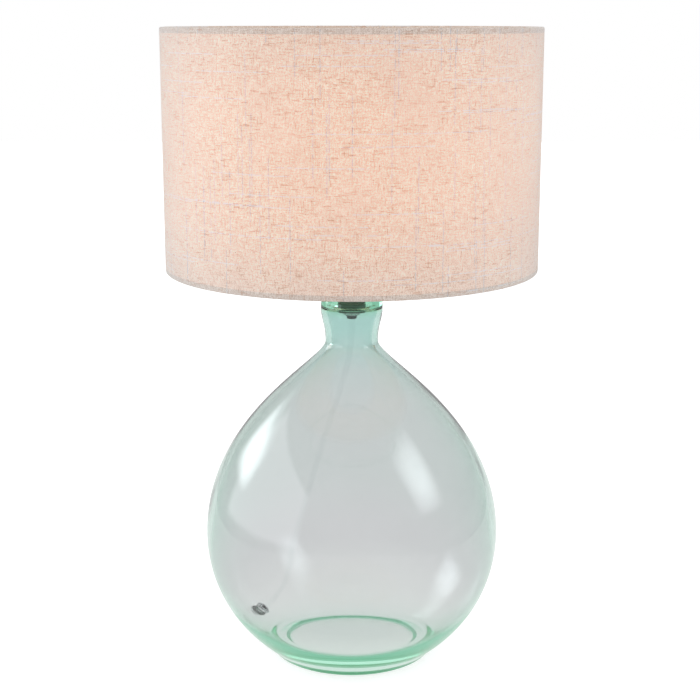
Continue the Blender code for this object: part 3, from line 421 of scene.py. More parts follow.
satin_steel = Finish("satin_steel", {"Metallic": 1.0})
rub = satin_steel.noise(420.0, 4.0, stretch=(1.0, 1.0, 6.0))
satin_steel.colour(rub, paint(160, 162, 160), paint(206, 207, 204))
satin_steel.set({"Roughness": 0.10 + 0.16 * satin_steel.noise(160.0, 3.0)})
satin_steel.relief(rub, 0.00002)

low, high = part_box("mouth_cover_plate")
plate_radius, bore = high.x, 0.0053
plate_outline = [(bore, low.z), (plate_radius - 0.0004, low.z), (plate_radius, low.z + 0.0004)]
plate_outline += arc((plate_radius - 0.0006, high.z - 0.0006), 0.0006, 0.0, 90.0, 4)
plate_outline += [(0.0150, high.z), (0.0146, high.z - 0.0002), (0.0142, high.z), (bore, high.z)]
plate_outline.append((bore, low.z))
plate = lathe("mouth_cover_plate_turned", plate_outline, steps=128)
satin_steel.put_on(plate)
stand(plate, "base", "satin_steel", "mouth_cover_plate")

low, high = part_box("rubber_bung")
bung_outline = [(bore, low.z), (high.x - 0.0016, low.z), (high.x - 0.0008, low.z + 0.0008)]
bung_outline.append((high.x, LEDGE + 0.0010))
for rib in range(3):
    rib_z = LEDGE + 0.0030 + 0.0035 * rib
    bung_outline += [(high.x, rib_z), (high.x - 0.0005, rib_z + 0.0004), (high.x, rib_z + 0.0008)]
bung_outline += [(high.x, high.z), (bore, high.z), (bore, low.z)]
bung = lathe("rubber_bung_turned", bung_outline)
black_rubber = Finish("black_rubber", {"Roughness": 0.72})
black_rubber.colour(black_rubber.noise(300.0, 4.0), paint(92, 96, 93), paint(124, 128, 124))
black_rubber.relief(black_rubber.noise(2600.0, 2.0), 0.00003)
black_rubber.put_on(bung)
stand(bung, "base", "black_rubber", "rubber_bung")

low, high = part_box("clamp_washer")
washer_outline = [(bore, low.z), (high.x - 0.0003, low.z), (high.x, low.z + 0.0003)]
washer_outline += [(high.x, high.z - 0.0003), (high.x - 0.0003, high.z), (bore, high.z)]
washer_outline.append((bore, low.z))
washer = lathe("clamp_washer_turned", washer_outline)
satin_steel.put_on(washer)
stand(washer, "base", "satin_steel", "clamp_washer")


def hex_nut(name, across_flats, height, bore_radius, middle):
    """A thin nut: a hexagon bar trimmed by a turned blank with 30 degree chamfers, then bored."""
    corner = across_flats / 2 / math.cos(math.pi / 6)
    bpy.ops.mesh.primitive_cylinder_add(vertices=6, radius=corner, depth=height)
    nut = bpy.context.active_object
    nut.name = nut.data.name = name
    settle(nut, (1, 0, 0, 0), (0, 0, middle))
    low_z, high_z = middle - height / 2, middle + height / 2
    drop = (corner - across_flats / 2) * 0.85
    face, past = across_flats * 0.485, 0.0001
    blank_outline = [(0.0, low_z - past), (face, low_z - past), (corner + past, low_z + drop)]
    blank_outline += [(corner + past, high_z - drop), (face, high_z + past), (0.0, high_z + past)]
    cut_with(nut, lathe(name + "_blank", blank_outline), "INTERSECT")
    mouth = bore_radius + 0.0012
    hole = [(0.0, low_z - 0.001), (mouth, low_z - 0.001), (bore_radius, low_z + 0.0004)]
    hole += [(bore_radius, high_z - 0.0004), (mouth, high_z + 0.001), (0.0, high_z + 0.001)]
    cut_with(nut, lathe(name + "_hole", hole, steps=64))
    bpy.ops.object.shade_smooth_by_angle(angle=math.radians(25.0))
    return nut


low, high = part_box("clamp_nut")
across_flats, nut_middle = 2 * min(high.x, high.y), (low.z + high.z) / 2
nut = hex_nut("clamp_nut_forged", across_flats, high.z - low.z, bore, nut_middle)
satin_steel.put_on(nut)
stand(nut, "base", "satin_steel", "clamp_nut")

low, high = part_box("threaded_nipple")
FLEX_HOLE, FINE_PITCH = 0.0035, 0.0010
nipple_outline = [(FLEX_HOLE, low.z), (0.0044, low.z)]
nipple_outline += threads(high.x, 0.00035, low.z + 0.0004, high.z - 0.0008, FINE_PITCH)
nipple_outline += [(0.0044, high.z), (FLEX_HOLE, high.z), (FLEX_HOLE, low.z)]
nipple = lathe("threaded_nipple_turned", nipple_outline, steps=64)
satin_steel.put_on(nipple)
stand(nipple, "base", "satin_steel", "threaded_nipple")

low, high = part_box("nipple_bush")
bush_outline = [(FLEX_HOLE, low.z), (0.00495, low.z), (0.00525, low.z + 0.0003)]
bush_outline += [(0.00555, high.z - 0.0021), (high.x - 0.0002, high.z - 0.0019)]
bush_outline += [(high.x, high.z - 0.0016), (high.x, high.z - 0.0002), (high.x - 0.0002, high.z)]
bush_outline += [(0.0052, high.z), (0.0052, low.z + 0.0018), (FLEX_HOLE, low.z + 0.0018)]
bush_outline.append((FLEX_HOLE, low.z))
bush = lathe("nipple_bush_moulded", bush_outline, steps=64)
dark_plastic = Finish("dark_plastic", {"Roughness": 0.45})
mottle = dark_plastic.noise(700.0, 3.0)
dark_plastic.colour(mottle, paint(30, 31, 31), paint(58, 60, 60))
dark_plastic.relief(mottle, 0.00003)
dark_plastic.put_on(bush)
stand(bush, "base", "dark_plastic", "nipple_bush")

# ==== Cable gland ================================================================================
# A hollow bolt of dark plated metal goes out through the wall, with a rubber seal on each face of
# the glass and a thin hexagon nut inside. The flex leaves through its bore.
gland_metal = Finish("gland_metal", {"Metallic": 1.0})
scuff = gland_metal.noise(500.0, 4.0)
gland_metal.colour(scuff, paint(176, 180, 180), paint(222, 225, 225))
gland_metal.set({"Roughness": 0.16 + 0.18 * gland_metal.noise(240.0, 3.0)})
gland_metal.relief(scuff, 0.00002)

GLAND_SEAT, SEAL, SEAL_GAP, NUT_HEIGHT = 0.00811, 0.0010, 0.0003, 0.0030
nut_top = -GLAND_SEAT - SEAL - SEAL_GAP
stem_end = nut_top - NUT_HEIGHT - 0.0010
flange = 0.0004 + SEAL + SEAL_GAP
collar = flange + 0.0018 + 0.0040
gland_outline = [(FLEX_HOLE, stem_end), (0.0046, stem_end)]
gland_outline += threads(0.0050, 0.0003, stem_end + 0.0004, flange - 0.0006, FINE_PITCH)
gland_outline += [(0.0050, flange), (0.0087, flange), (0.0090, flange + 0.0003)]
gland_outline += [(0.0090, flange + 0.0014), (0.0086, flange + 0.0018), (0.0068, flange + 0.0018)]
gland_outline += [(0.0065, flange + 0.0021), (0.0065, collar - 0.0010), (0.0062, collar - 0.0003)]
gland_outline += [(0.0055, collar), (FLEX_HOLE, collar), (FLEX_HOLE, stem_end)]
gland = lathe("gland_bolt_turned", gland_outline, steps=64)
settle(gland, gland_turn, GLAND_POINT)
gland_metal.put_on(gland)
stand(gland, "base", "gland_metal", "gland_body")

for seal_name, node, seal_low, seal_radius in (
    ("gland_outer_seal_ring", "gland_outer_seal", 0.0004, 0.0093),
    ("gland_inner_seal_ring", "gland_inner_seal", -GLAND_SEAT - SEAL, 0.0082),
):
    seal_outline = [(bore, seal_low), (seal_radius - 0.0004, seal_low)]
    seal_outline += arc((seal_radius - 0.0005, seal_low + SEAL / 2), SEAL / 2, -90.0, 90.0, 6)
    seal_outline += [(bore, seal_low + SEAL), (bore, seal_low)]
    seal = lathe(seal_name, seal_outline, steps=64)
    settle(seal, gland_turn, GLAND_POINT)
    black_rubber.put_on(seal)
    stand(seal, "base", "black_rubber", node)

gland_nut = hex_nut("gland_nut_forged", 0.0156, NUT_HEIGHT, bore, nut_top - NUT_HEIGHT / 2)
settle(gland_nut, gland_turn, GLAND_POINT)
gland_metal.put_on(gland_nut)
stand(gland_nut, "base", "gland_metal", "gland_nut")

# ==== Lampholder =================================================================================
# White moulded cap screwed on the nipple, and a skirt with an outside thread for the shade rings.
# Inside are a cream insulating insert, a brass screw shell, a sprung contact and two terminals.
white_plastic = Finish("white_plastic", {"Coat Weight": 0.15, "Coat Roughness": 0.2})
white_plastic.colour(white_plastic.noise(120.0, 3.0), paint(226, 224, 217), paint(238, 236, 230))
white_plastic.set({"Roughness": 0.30 + 0.14 * white_plastic.noise(380.0, 3.0)})
white_plastic.relief(white_plastic.noise(1800.0, 2.0), 0.00002)

low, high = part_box("holder_cap")
neck_top, outer = low.z + 0.0050, high.x
cap_outline = [(bore, low.z), (0.0077, low.z), (0.0080, low.z + 0.0003), (0.0080, neck_top - 0.0002)]
dome = (0.0140, neck_top), (outer, neck_top + 0.0020), (outer, neck_top + 0.0090)
cap_outline += curve((0.0080, neck_top), *dome, 14)
cap_outline += [(outer, high.z - 0.0024), (outer - 0.0003, high.z - 0.0021)]
cap_outline += [(outer - 0.0003, high.z - 0.0018), (outer, high.z - 0.0015), (outer, high.z - 0.0003)]
cap_outline += [(outer - 0.0003, high.z), (outer - 0.0018, high.z), (outer - 0.0018, low.z + 0.0133)]
cap_outline += [(bore + 0.0030, low.z + 0.0093), (bore, low.z + 0.0093), (bore, low.z)]
cap = lathe("holder_cap_moulded", cap_outline)
white_plastic.put_on(cap)
stand(cap, "base", "white_plastic", "holder_cap")

low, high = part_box("holder_skirt")
skirt_inside, mouth = high.x - 0.0020, 0.0152
SKIRT_PITCH = 0.0025
thread_low = high.z - 0.0030 - 7 * SKIRT_PITCH
skirt_outline = [(skirt_inside, low.z), (high.x - 0.0007, low.z), (high.x - 0.0004, low.z + 0.0003)]
skirt_outline += [(high.x - 0.0004, thread_low - 0.0010), (high.x - 0.0006, thread_low - 0.0004)]
skirt_outline += threads(high.x, 0.0006, thread_low, high.z - 0.0020, SKIRT_PITCH)
skirt_outline += [(high.x - 0.0006, high.z - 0.0008), (high.x - 0.0010, high.z - 0.0002)]
skirt_outline += [(high.x - 0.0016, high.z), (mouth + 0.0005, high.z), (mouth, high.z - 0.0005)]
skirt_outline += [(mouth, high.z - 0.0020), (skirt_inside, high.z - 0.0040), (skirt_inside, low.z)]
skirt = lathe("holder_skirt_moulded", skirt_outline)
white_plastic.put_on(skirt)
stand(skirt, "base", "white_plastic", "holder_skirt")

ceramic = Finish("insert_ceramic", {"Roughness": 0.5})
ceramic.colour(ceramic.noise(350.0, 4.0), paint(222, 215, 198), paint(236, 230, 216))
ceramic.relief(ceramic.noise(1500.0, 3.0), 0.00005)
ceramic.put_on("holder_insert")

brass = Finish("contact_brass", {"Metallic": 1.0})
tarnish = brass.noise(260.0, 5.0)
brass.colour(tarnish, paint(176, 136, 70), paint(226, 192, 122))
brass.set({"Roughness": 0.22 + 0.25 * tarnish})
brass.relief(brass.noise(1200.0, 2.0), 0.00002)
brass.put_on("screw_contact_shell", "centre_contact", "terminal_screw_1", "terminal_screw_2")


# ==== Lower shade ring ===========================================================================
# A ring moulded in the same white plastic, screwed on the skirt's thread. The shade's fitter ring
# rests on it.
def grip_ring(name, node, body, ribs):
    """A threaded ring with shallow finger grooves round its grip."""
    low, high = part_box(node)
    edge, bore_radius = high.x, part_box("holder_skirt")[1].x + 0.0003
    outline = [(bore_radius, low.z), (edge - 0.0008, low.z), (edge - 0.0002, low.z + 0.0003)]
    outline += [(edge, low.z + 0.0008), (edge, high.z - 0.0008), (edge - 0.0002, high.z - 0.0003)]
    outline += [(edge - 0.0008, high.z), (bore_radius + 0.0050, high.z)]
    outline += [(bore_radius + 0.0044, high.z - 0.0005), (bore_radius + 0.0016, high.z - 0.0005)]
    outline += [(bore_radius + 0.0010, high.z), (bore_radius, high.z), (bore_radius, low.z)]
    ring = lathe(name, outline, steps=ribs * 4)
    bpy.ops.object.mode_set(mode="EDIT")
    bpy.ops.mesh.select_all(action="DESELECT")
    shape = bmesh.from_edit_mesh(ring.data)
    for face in shape.faces:
        middle = face.calc_center_median()
        turn = math.degrees(math.atan2(middle.y, middle.x)) % (360.0 / ribs)
        on_edge = math.hypot(middle.x, middle.y) > edge - 0.0002
        on_side = low.z + 0.0008 < middle.z < high.z - 0.0008
        face.select = on_edge and on_side and turn < 180.0 / ribs
    bmesh.update_edit_mesh(ring.data)
    bpy.ops.mesh.inset(thickness=0.0002, depth=-0.0006, use_individual=False)
    bpy.ops.mesh.select_all(action="DESELECT")
    bpy.ops.object.mode_set(mode="OBJECT")
    white_plastic.put_on(ring)
    stand(ring, body, "white_plastic", node)


grip_ring("lower_shade_ring_moulded", "lower_shade_ring", "base", 30)

# ==== Shade frame ================================================================================
# White coated steel: a ring in each hem, and three spokes welded to the flat fitter ring, which
# step down from the lampholder to the bottom ring.
coated_wire = Finish("coated_wire", {"Coat Weight": 0.2})
coated_wire.colour(coated_wire.noise(90.0, 3.0), paint(222, 219, 211), paint(236, 233, 226))
coated_wire.set({"Roughness": 0.34 + 0.18 * coated_wire.noise(300.0, 3.0)})
coated_wire.relief(coated_wire.noise(1400.0, 2.0), 0.00004)

WIRE = 0.0015
for node in ("top_wire_ring", "bottom_wire_ring"):
    low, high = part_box(node)
    middle = (high.x - WIRE, (low.z + high.z) / 2)
    hoop = lathe(node + "_rolled", arc(middle, WIRE, 0.0, 360.0, 16), steps=240, crease=60.0)
    coated_wire.put_on(hoop)
    stand(hoop, "shade", "coated_wire", node)
ring_middle = middle

low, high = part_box("fitter_ring")
fitter_bore, fitter_edge, fitter_middle = 0.0208, high.x, (low.z + high.z) / 2
fitter_outline = [(fitter_bore, low.z + 0.0002), (fitter_bore + 0.0002, low.z)]
fitter_outline += [(fitter_edge - 0.0004, low.z), (fitter_edge, low.z + 0.0004)]
fitter_outline += [(fitter_edge, high.z - 0.0004), (fitter_edge - 0.0004, high.z)]
fitter_outline += [(fitter_bore + 0.0002, high.z), (fitter_bore, high.z - 0.0002)]
fitter_outline.append(fitter_outline[0])
fitter = lathe("fitter_ring_pressed", fitter_outline, steps=128)
coated_wire.put_on(fitter)
stand(fitter, "shade", "coated_wire", "fitter_ring")

reach = ring_middle[0] - WIRE - 0.0002
weld = (fitter_edge, fitter_middle)
knee = (0.0650, fitter_middle - 0.0006)
fall = (0.1100, fitter_middle - 0.0024), (reach - 0.0400, ring_middle[1]), (reach, ring_middle[1])
bends = curve(weld, (fitter_edge + 0.0150, fitter_middle), (0.0500, fitter_middle), knee, 6)
bends = [weld] + bends + curve(bends[-1], *fall, 14)
for number in (1, 2, 3):
    turn = math.radians(90.0 + 120.0 * (number - 1))
    route = [(r * math.cos(turn), r * math.sin(turn), z) for r, z in bends]
    spoke = round_wire(f"spoke_{number}_wire", route, WIRE)
    coated_wire.put_on(spoke)
    stand(spoke, "shade", "coated_wire", f"spoke_{number}")

# ==== Shade lining ===============================================================================
# A thin translucent film inside the linen, which is laminated to it, between the two wire rings.
# The bulb's light through both is painted in as a warm glow on the film and on the linen.
low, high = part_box("shade_lining")
film_outer, film_inner = high.x, high.x - 0.0005
film_outline = [(film_inner, low.z), (film_outer, low.z), (film_outer, high.z), (film_inner, high.z)]
lining = lathe("shade_lining_film", film_outline + film_outline[:1], steps=240)
film = Finish("lining_film", {"Roughness": 0.55, "Emission Strength": 0.18})
fibres = film.noise(60.0, 5.0, stretch=(1.0, 1.0, 0.6))
film.colour(fibres, paint(218, 209, 196), paint(230, 222, 210))
# The warm emission, mottled with the fibres, is a painted glow of the bulb's light on the film.
film.set({"Emission Color": film.blend(fibres, (1.0, 0.66, 0.40), (1.0, 0.72, 0.47))})
film.relief(film.noise(900.0, 2.0), 0.00003)
film.put_on(lining)
stand(lining, "shade", "lining_film", "shade_lining")

# ==== Linen cover ================================================================================
# One band of slubby linen, 400 mm across and 255 mm high, turned in over both wire rings with
# narrow hems and lapped at the back. Its glow from the bulb is painted on, faint on the hems.
low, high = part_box("shade_cover")
SHADE_RADIUS, CLOTH, HEM = high.x, 0.0008, 0.0058
wall = SHADE_RADIUS - CLOTH / 2
leg = SHADE_RADIUS - 0.0052
on_lining = SHADE_RADIUS - 0.0023


def hem_line(edge, inwards):
    """Middle of the cloth from the outer wall over a wire ring and back on the lining."""
    half = CLOTH / 2
    line = [(wall, 0.0040), (wall, 0.0026)]
    line += curve(line[-1], (wall, 0.0008), (wall - 0.0006, half), (wall - 0.0020, half), 6)
    line += [(leg + 0.0008, half), (leg + 0.0002, 0.0006), (leg, 0.0012), (leg, 0.0044)]
    line += [(leg + 0.0004, 0.0054), (on_lining - 0.0004, 0.0076)]
    line += [(on_lining, 0.0086), (on_lining, 0.0110)]
    return [(r, edge + inwards * depth) for r, depth in line]


bands = [low.z + 0.0100 + (high.z - low.z - 0.0200) * i / 30 for i in range(31)]
cloth_line = hem_line(low.z, 1.0)[::-1] + [(wall, z) for z in bands] + hem_line(high.z, -1.0)
cover = lathe("linen_shade_cover", cloth_line, steps=240)
cut_height = sum(math.hypot(b[0] - a[0], b[1] - a[1]) for a, b in zip(cloth_line, cloth_line[1:]))
thicken = cover.modifiers.new("cloth", "SOLIDIFY")
thicken.thickness = CLOTH
thicken.offset = 0.0
thicken.use_even_offset = True
bpy.ops.object.modifier_apply(modifier="cloth")
bpy.ops.object.shade_smooth_by_angle(angle=math.radians(40.0))

sheen = {"Sheen Weight": 1.0, "Sheen Roughness": 0.4, "Sheen Tint": (1, 1, 1)}
linen = Finish("shade_linen", sheen)
across = linen.node("ShaderNodeSeparateXYZ", {}, {0: linen.place()})
away, height = across.beside(1), across.beside(2)
around = across.math("ARCTAN2", across, away * -1.0) * SHADE_RADIUS


def woven(along, up, scale, detail=3.0):
    """Noise in the plane of the cloth: features a metre round the shade and up it."""
    where = linen.node("ShaderNodeCombineXYZ", {}, {0: around * along, 1: height * up, 2: 0.0})
    return linen.noise(scale, detail, where=where)


def whole(value):
    """The whole number at or below a value."""
    return value.math("FLOOR", value)


def bulge(value):
    """A half sine over each thread, 0 at its edges."""
    return value.math("SINE", math.pi * (value - whole(value)))


def chance(column, row):
    """A random number for each cell of the cloth."""
    where = linen.node("ShaderNodeCombineXYZ", {}, {0: column, 1: row, 2: 0.0})
    return linen.node("ShaderNodeTexWhiteNoise", {"noise_dimensions": "2D"}, {"Vector": where})


def odd_threads(cross, along, pitch, length, share):
    """1 on a share of the threads, in lengths of about this much, and 0 on the rest."""
    thread = whole(cross / pitch + 0.35 * linen.noise(30.0, 1.0))
    part = whole(along / length + 7.0 * chance(thread, 5.0))
    return chance(thread + 0.5, part) > 1.0 - share


PITCH = 0.0008
column, row = around / PITCH, height / PITCH
cell = chance(whole(column), whole(row))
EVEN_OFFSET = 4000.0
over = column.math("MODULO", whole(column) + whole(row) + EVEN_OFFSET, 2.0)
crown = over * bulge(column) + (1.0 - over) * bulge(row)
grain = 0.5 * (woven(110.0, 1250.0, 1.0, 2.0) + woven(1250.0, 110.0, 1.0, 2.0))
# The crown of each thread is painted a little paler than its edges: painted shade between the
# threads. The rest of the weave's tone is random from thread to thread and along the grain.
weave = 0.26 * cell + 0.90 * grain + 0.16 * crown - 0.16
broken = linen.spread(woven(260.0, 260.0, 1.0, 1.0), 0.36, 0.52)
pale_picks = odd_threads(height, around, 0.0010, 0.090, 0.034) * broken
pale_ends = odd_threads(around, height, 0.0012, 0.080, 0.034) * broken
crowded = linen.spread(woven(26.0, 60.0, 1.0, 2.0), 0.22, 0.62)
weft_slubs = odd_threads(height, around, 0.0007, 0.0070, 0.062) * crowded
warp_slubs = odd_threads(around, height, 0.0008, 0.0060, 0.030) * crowded
flecks = linen.spread(woven(330.0, 460.0, 1.0, 1.0), 0.74, 0.80)
dye = woven(14.0, 9.0, 1.0)
pale = linen.spread(weave, 0.27, 0.73)
ground = linen.blend(pale, paint(190, 172, 157), paint(255, 253, 249))
for share, dyed in (
    (linen.spread(dye, 0.40, 0.66) * 0.30, (214, 205, 203)),
    (pale_ends * 0.75, (212, 214, 220)),
    (pale_picks * 0.90, (238, 240, 246)),
    (weft_slubs * 0.48, (202, 140, 96)),
    (warp_slubs * 0.42, (198, 142, 102)),
    (flecks * 0.60, (132, 92, 66)),
):
    ground = linen.blend(share, ground, paint(*dyed))
between_hems = (height > low.z + HEM) * (height < high.z - HEM)
# On the hems the colour is blended a little towards a darker warm brown: painted shade of the doubled
# cloth, which lets less of the bulb's light through.
linen.colour((1.0 - between_hems) * 0.08, ground, paint(164, 128, 106))

# The bulb's light through the cloth is painted on as a warm glow. It fades away from the bulb's
# height, in the folded hems and behind the thicker threads.
BULB_HEIGHT = 0.575
from_bulb = height - BULB_HEIGHT
painted_glow_falloff = 1.0 - 24.0 * from_bulb * from_bulb
thin = 1.0 - 0.30 * weft_slubs - 0.25 * warp_slubs - 0.30 * flecks
thin = thin - 0.45 * pale_ends - 0.45 * pale_picks
painted_glow = (0.38 + 0.62 * between_hems) * painted_glow_falloff * thin * (0.70 + 0.60 * weave)
painted_glow = linen.blend(painted_glow, (0.0, 0.0, 0.0), (1.0, 0.36, 0.07))
linen.set({"Emission Color": painted_glow, "Emission Strength": 0.36})
linen.set({"Roughness": 0.80 + 0.15 * weave})
slubs = weft_slubs + warp_slubs
linen.relief(0.5 * crown + 0.5 * grain + 0.4 * slubs + 0.3 * pale_picks, 0.0003)

# The overlap that closes the band, a strip 12 mm wide down the middle of the back.
LAP_WIDTH, LAP_END = 0.0120, 0.0006
inner, outer = SHADE_RADIUS - 0.0002, SHADE_RADIUS + 0.0006
lap_outline = [(inner, low.z + LAP_END), (outer, low.z + LAP_END)]
lap_outline += [(outer, high.z - LAP_END), (inner, high.z - LAP_END), lap_outline[0]]
lap = lathe("linen_lap_seam", lap_outline, steps=8, turn=LAP_WIDTH / SHADE_RADIUS)
bpy.ops.object.mode_set(mode="EDIT")
bpy.ops.mesh.select_all(action="DESELECT")
bpy.ops.mesh.select_non_manifold()
bpy.ops.mesh.fill()
bpy.ops.mesh.select_all(action="SELECT")
bpy.ops.mesh.normals_make_consistent(inside=False)
bpy.ops.object.mode_set(mode="OBJECT")
half_turn = math.pi / 4 + 0.015
settle(lap, (math.cos(half_turn), 0.0, 0.0, math.sin(half_turn)), (0.0, 0.0, 0.0))
stand(lap, "shade", "shade_linen")
linen.put_on(cover, lap)
stand(cover, "shade", "shade_linen", "shade_cover")

# ==== Slip washer and upper shade ring ===========================================================
# A pale fibre washer lies on the fitter ring, so that the screwed ring above it clamps the shade
# without turning it.
low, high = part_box("slip_washer")
slip_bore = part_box("holder_skirt")[1].x + 0.0003
slip_outline = [(slip_bore, low.z), (high.x - 0.0002, low.z), (high.x, low.z + 0.0002)]
slip_outline += [(high.x, high.z - 0.0002), (high.x - 0.0002, high.z), (slip_bore, high.z)]
slip_outline.append((slip_bore, low.z))
slip = lathe("slip_washer_pressed", slip_outline)
fibre = Finish("fibre", {"Roughness": 0.7})
pulp = fibre.noise(500.0, 5.0, stretch=(1.0, 0.4, 1.0))
fibre.colour(pulp, paint(198, 192, 178), paint(224, 219, 206))
fibre.relief(pulp, 0.00005)
fibre.put_on(slip)
stand(slip, "slip", "fibre", "slip_washer")
grip_ring("upper_shade_ring_moulded", "upper_shade_ring", "ring", 30)

# ==== Bulb =======================================================================================
# A small globe bulb, screwed in by its cap: a tinned contact, a black glass insulator, a rolled
# metal cap, a white moulded body and a lit opal globe of 60 mm.
bulb_metal = Finish("bulb_metal", {"Metallic": 1.0})
handling = bulb_metal.noise(240.0, 4.0)
bulb_metal.colour(handling, paint(188, 188, 184), paint(226, 226, 222))
bulb_metal.set({"Roughness": 0.2 + 0.25 * handling})
bulb_metal.relief(handling, 0.00003)
bulb_metal.put_on("bulb_contact_tip")

vitrite = Finish("bulb_insulator_glass", {"Roughness": 0.12})
vitrite.colour(vitrite.noise(500.0, 3.0), paint(14, 12, 16), paint(40, 34, 44))
vitrite.relief(vitrite.noise(800.0, 2.0), 0.00004)
vitrite.put_on("bulb_insulator")

low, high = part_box("bulb_screw_cap")
CAP_RADIUS, CAP_PITCH, CAP_WAVE = 0.0132, 0.00363, 0.00045
screw_outline = [(0.0, low.z), (CAP_RADIUS - 0.0022, low.z), (CAP_RADIUS - 0.0014, low.z + 0.0006)]
for turn_number in range(4):
    z = high.z - 0.0040 - (3 - turn_number) * CAP_PITCH
    for share in range(8):
        phase = share / 8.0
        wave = CAP_WAVE + CAP_WAVE * math.cos(2 * math.pi * phase)
        screw_outline.append((CAP_RADIUS - wave, z - 0.0018 + CAP_PITCH * phase))
screw_outline += [(CAP_RADIUS - 0.0009, high.z - 0.0022), (CAP_RADIUS - 0.0004, high.z - 0.0017)]
screw_outline += [(CAP_RADIUS - 0.0004, high.z), (0.0, high.z)]
screw_cap = lathe("bulb_screw_cap_rolled", screw_outline, crease=50.0)
bulb_metal.put_on(screw_cap)
stand(screw_cap, "bulb", "bulb_metal", "bulb_screw_cap")

low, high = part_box("bulb_body")
body_outline = [(0.0, low.z), (0.0137, low.z), (0.0140, low.z + 0.0004)]
flare = (0.0140, low.z + 0.0140), (0.0162, high.z - 0.0085), (high.x, high.z)
body_outline += curve(body_outline[-1], *flare, 20)
body_outline += [(high.x - 0.0010, high.z), (0.0, high.z)]
body = lathe("bulb_body_moulded", body_outline)
bulb_plastic = Finish("bulb_plastic", {"Roughness": 0.35})
bulb_plastic.colour(bulb_plastic.noise(150.0, 3.0), paint(232, 231, 226), paint(242, 241, 237))
bulb_plastic.relief(bulb_plastic.noise(1600.0, 2.0), 0.00002)
bulb_plastic.put_on(body)
stand(body, "bulb", "bulb_plastic", "bulb_body")

low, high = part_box("bulb_globe")
GLOBE = 0.0300
centre_z = high.z - GLOBE
foot_angle = math.degrees(math.asin(max(-1.0, (low.z - centre_z) / GLOBE)))
globe_outline = arc((0.0, centre_z), GLOBE, foot_angle, 90.0, 28)
globe_outline[-1] = (0.0, high.z)
inner_globe = arc((0.0, centre_z), GLOBE - 0.0010, 90.0, foot_angle, 20)
inner_globe[0] = (0.0, high.z - 0.0010)
inner_globe[-1] = (globe_outline[0][0] - 0.0010, globe_outline[0][1])
globe = lathe("bulb_globe_opal", [inner_globe[-1]] + globe_outline + inner_globe, crease=50.0)
opal = Finish("bulb_opal", {"Roughness": 0.4, "Emission Strength": 2.2})
veil = opal.noise(70.0, 3.0)
opal.colour(veil, paint(240, 236, 228), paint(248, 246, 240))
opal.set({"Emission Color": opal.blend(veil, (1.0, 0.80, 0.56), (1.0, 0.86, 0.64))})
opal.relief(opal.noise(900.0, 2.0), 0.00002)
opal.put_on(globe)
stand(globe, "bulb", "bulb_opal", "bulb_globe")

# ==== Studio =====================================================================================
# White floor and surround. A soft lamp behind the left side and one at the front right make the
# highlights, a broad pale wall at the left shows in the glass, and two side fills light the cloth.
bpy.ops.object.select_all(action="DESELECT")
bpy.ops.mesh.primitive_plane_add(size=14.0, location=(0.0, 0.0, -0.0002))
floor = bpy.context.active_object
floor.name = "studio_floor"
floor_paint = Finish("studio_floor", {"Roughness": 1.0, "Specular IOR Level": 0.0})
by_camera = floor_paint.node("ShaderNodeLightPath")
by_gloss, by_glass = by_camera.beside("Is Glossy Ray"), by_camera.beside("Is Transmission Ray")
floor_x = floor_paint.node("ShaderNodeSeparateXYZ", {}, {0: floor_paint.place()})
floor_y = floor_x.beside(1)
table = (floor_x > -1.0) * (floor_x < 0.95) * (floor_y > -2.5) * (floor_y < 1.6)
mirrored = by_gloss.math("MINIMUM", by_gloss + by_glass, 1.0)
bright = 0.62 * by_camera + by_glass + by_gloss * (0.62 + 0.36 * table)
floor_paint.colour(mirrored, (0.9, 0.9, 0.9), (0.0, 0.0, 0.0))
floor_paint.set({"Emission Color": floor_paint.blend(bright, (0.0, 0.0, 0.0), (1.0, 1.0, 1.0))})
floor_paint.set({"Emission Strength": 1.0})
floor_paint.put_on(floor)

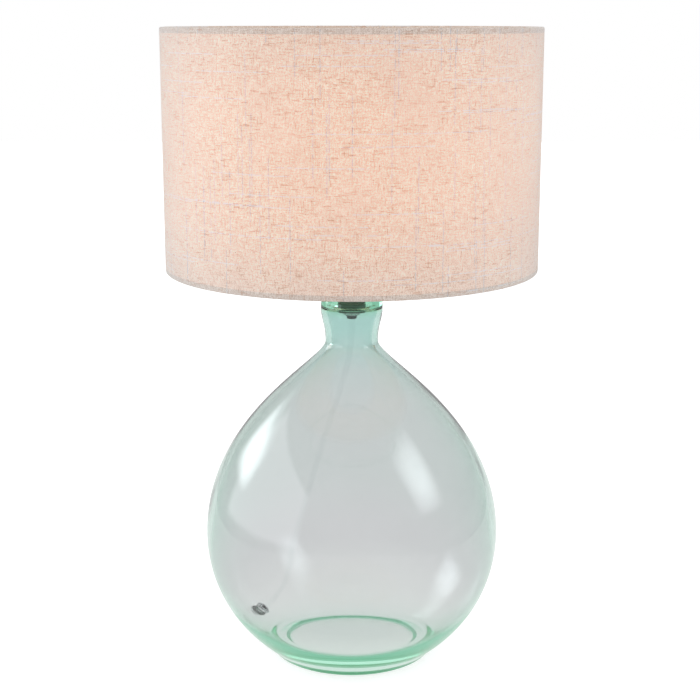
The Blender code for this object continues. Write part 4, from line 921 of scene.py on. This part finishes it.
FILL = 0.79
MIRRORED = 0.62
world = bpy.data.worlds.new("studio_surround")
bpy.context.scene.world = world
surround = Nodes(world)
direct = surround.node("ShaderNodeLightPath")
glossy = direct.beside("Is Glossy Ray")
straight = direct + direct.beside("Is Transmission Ray")
back = surround.tree.nodes["Background"]
surround.feed(back.inputs["Color"], (1.0, 1.0, 1.0))
strength = FILL + (1.0 - FILL) * straight.math("MINIMUM", straight, 1.0) + (MIRRORED - FILL) * glossy
surround.feed(back.inputs["Strength"], strength)


def soft_lamp(name, place, aim, width, tall, power, edge=4.0, through_glass=True):
    """A flat light that faces a point and fades to its edges, the faster the higher edge is."""
    light = bpy.data.lights.new(name, "AREA")
    light.shape = "RECTANGLE"
    light.size = width
    light.size_y = tall
    light.energy = power
    light.color = (0.93, 0.97, 1.0)
    face = Nodes(light)
    side = face.node("ShaderNodeNewGeometry", output="Parametric")
    side = face.node("ShaderNodeSeparateXYZ", {}, {0: side})
    fades = [
        share.math("MINIMUM", edge * share * (1.0 - share), 1.0) for share in (side, side.beside(1))
    ]
    face.feed(face.tree.nodes["Emission"].inputs["Strength"], fades[0] * fades[1])
    lamp = bpy.data.objects.new(name, light)
    bpy.context.scene.collection.objects.link(lamp)
    lamp.location = place
    lamp.visible_diffuse = False
    lamp.visible_transmission = through_glass
    lamp.rotation_euler = (Vector(aim) - Vector(place)).to_track_quat("-Z", "Y").to_euler()


soft_lamp("left_soft_lamp", (-1.27, 0.57, 0.72), (-0.115, -0.07, 0.25), 0.88, 0.64, 9.4)
soft_lamp("right_soft_lamp", (1.10, -0.49, 0.92), (0.068, -0.115, 0.235), 0.70, 1.00, 8.4)
soft_lamp(
    "left_white_wall", (-1.9, -0.75, 0.95), (0.0, -0.75, 0.75), 3.4, 1.9, 38.0,
    edge=14.0, through_glass=False,
)
for name, x, power in (("left_side_fill", -1.7, 6.4), ("right_side_fill", 1.7, 4.7)):
    light = bpy.data.lights.new(name, "AREA")
    light.size = 1.2
    light.energy = power
    light.color = (0.82, 0.94, 1.0)
    side_fill = bpy.data.objects.new(name, light)
    bpy.context.scene.collection.objects.link(side_fill)
    side_fill.location = (x, 0.20, 0.75)
    to_shade = Vector((0.0, 0.0, 0.5)) - side_fill.location
    side_fill.rotation_euler = to_shade.to_track_quat("-Z", "Y").to_euler()
    side_fill.visible_glossy = side_fill.visible_transmission = False

bpy.context.scene.view_settings.view_transform = "Standard"
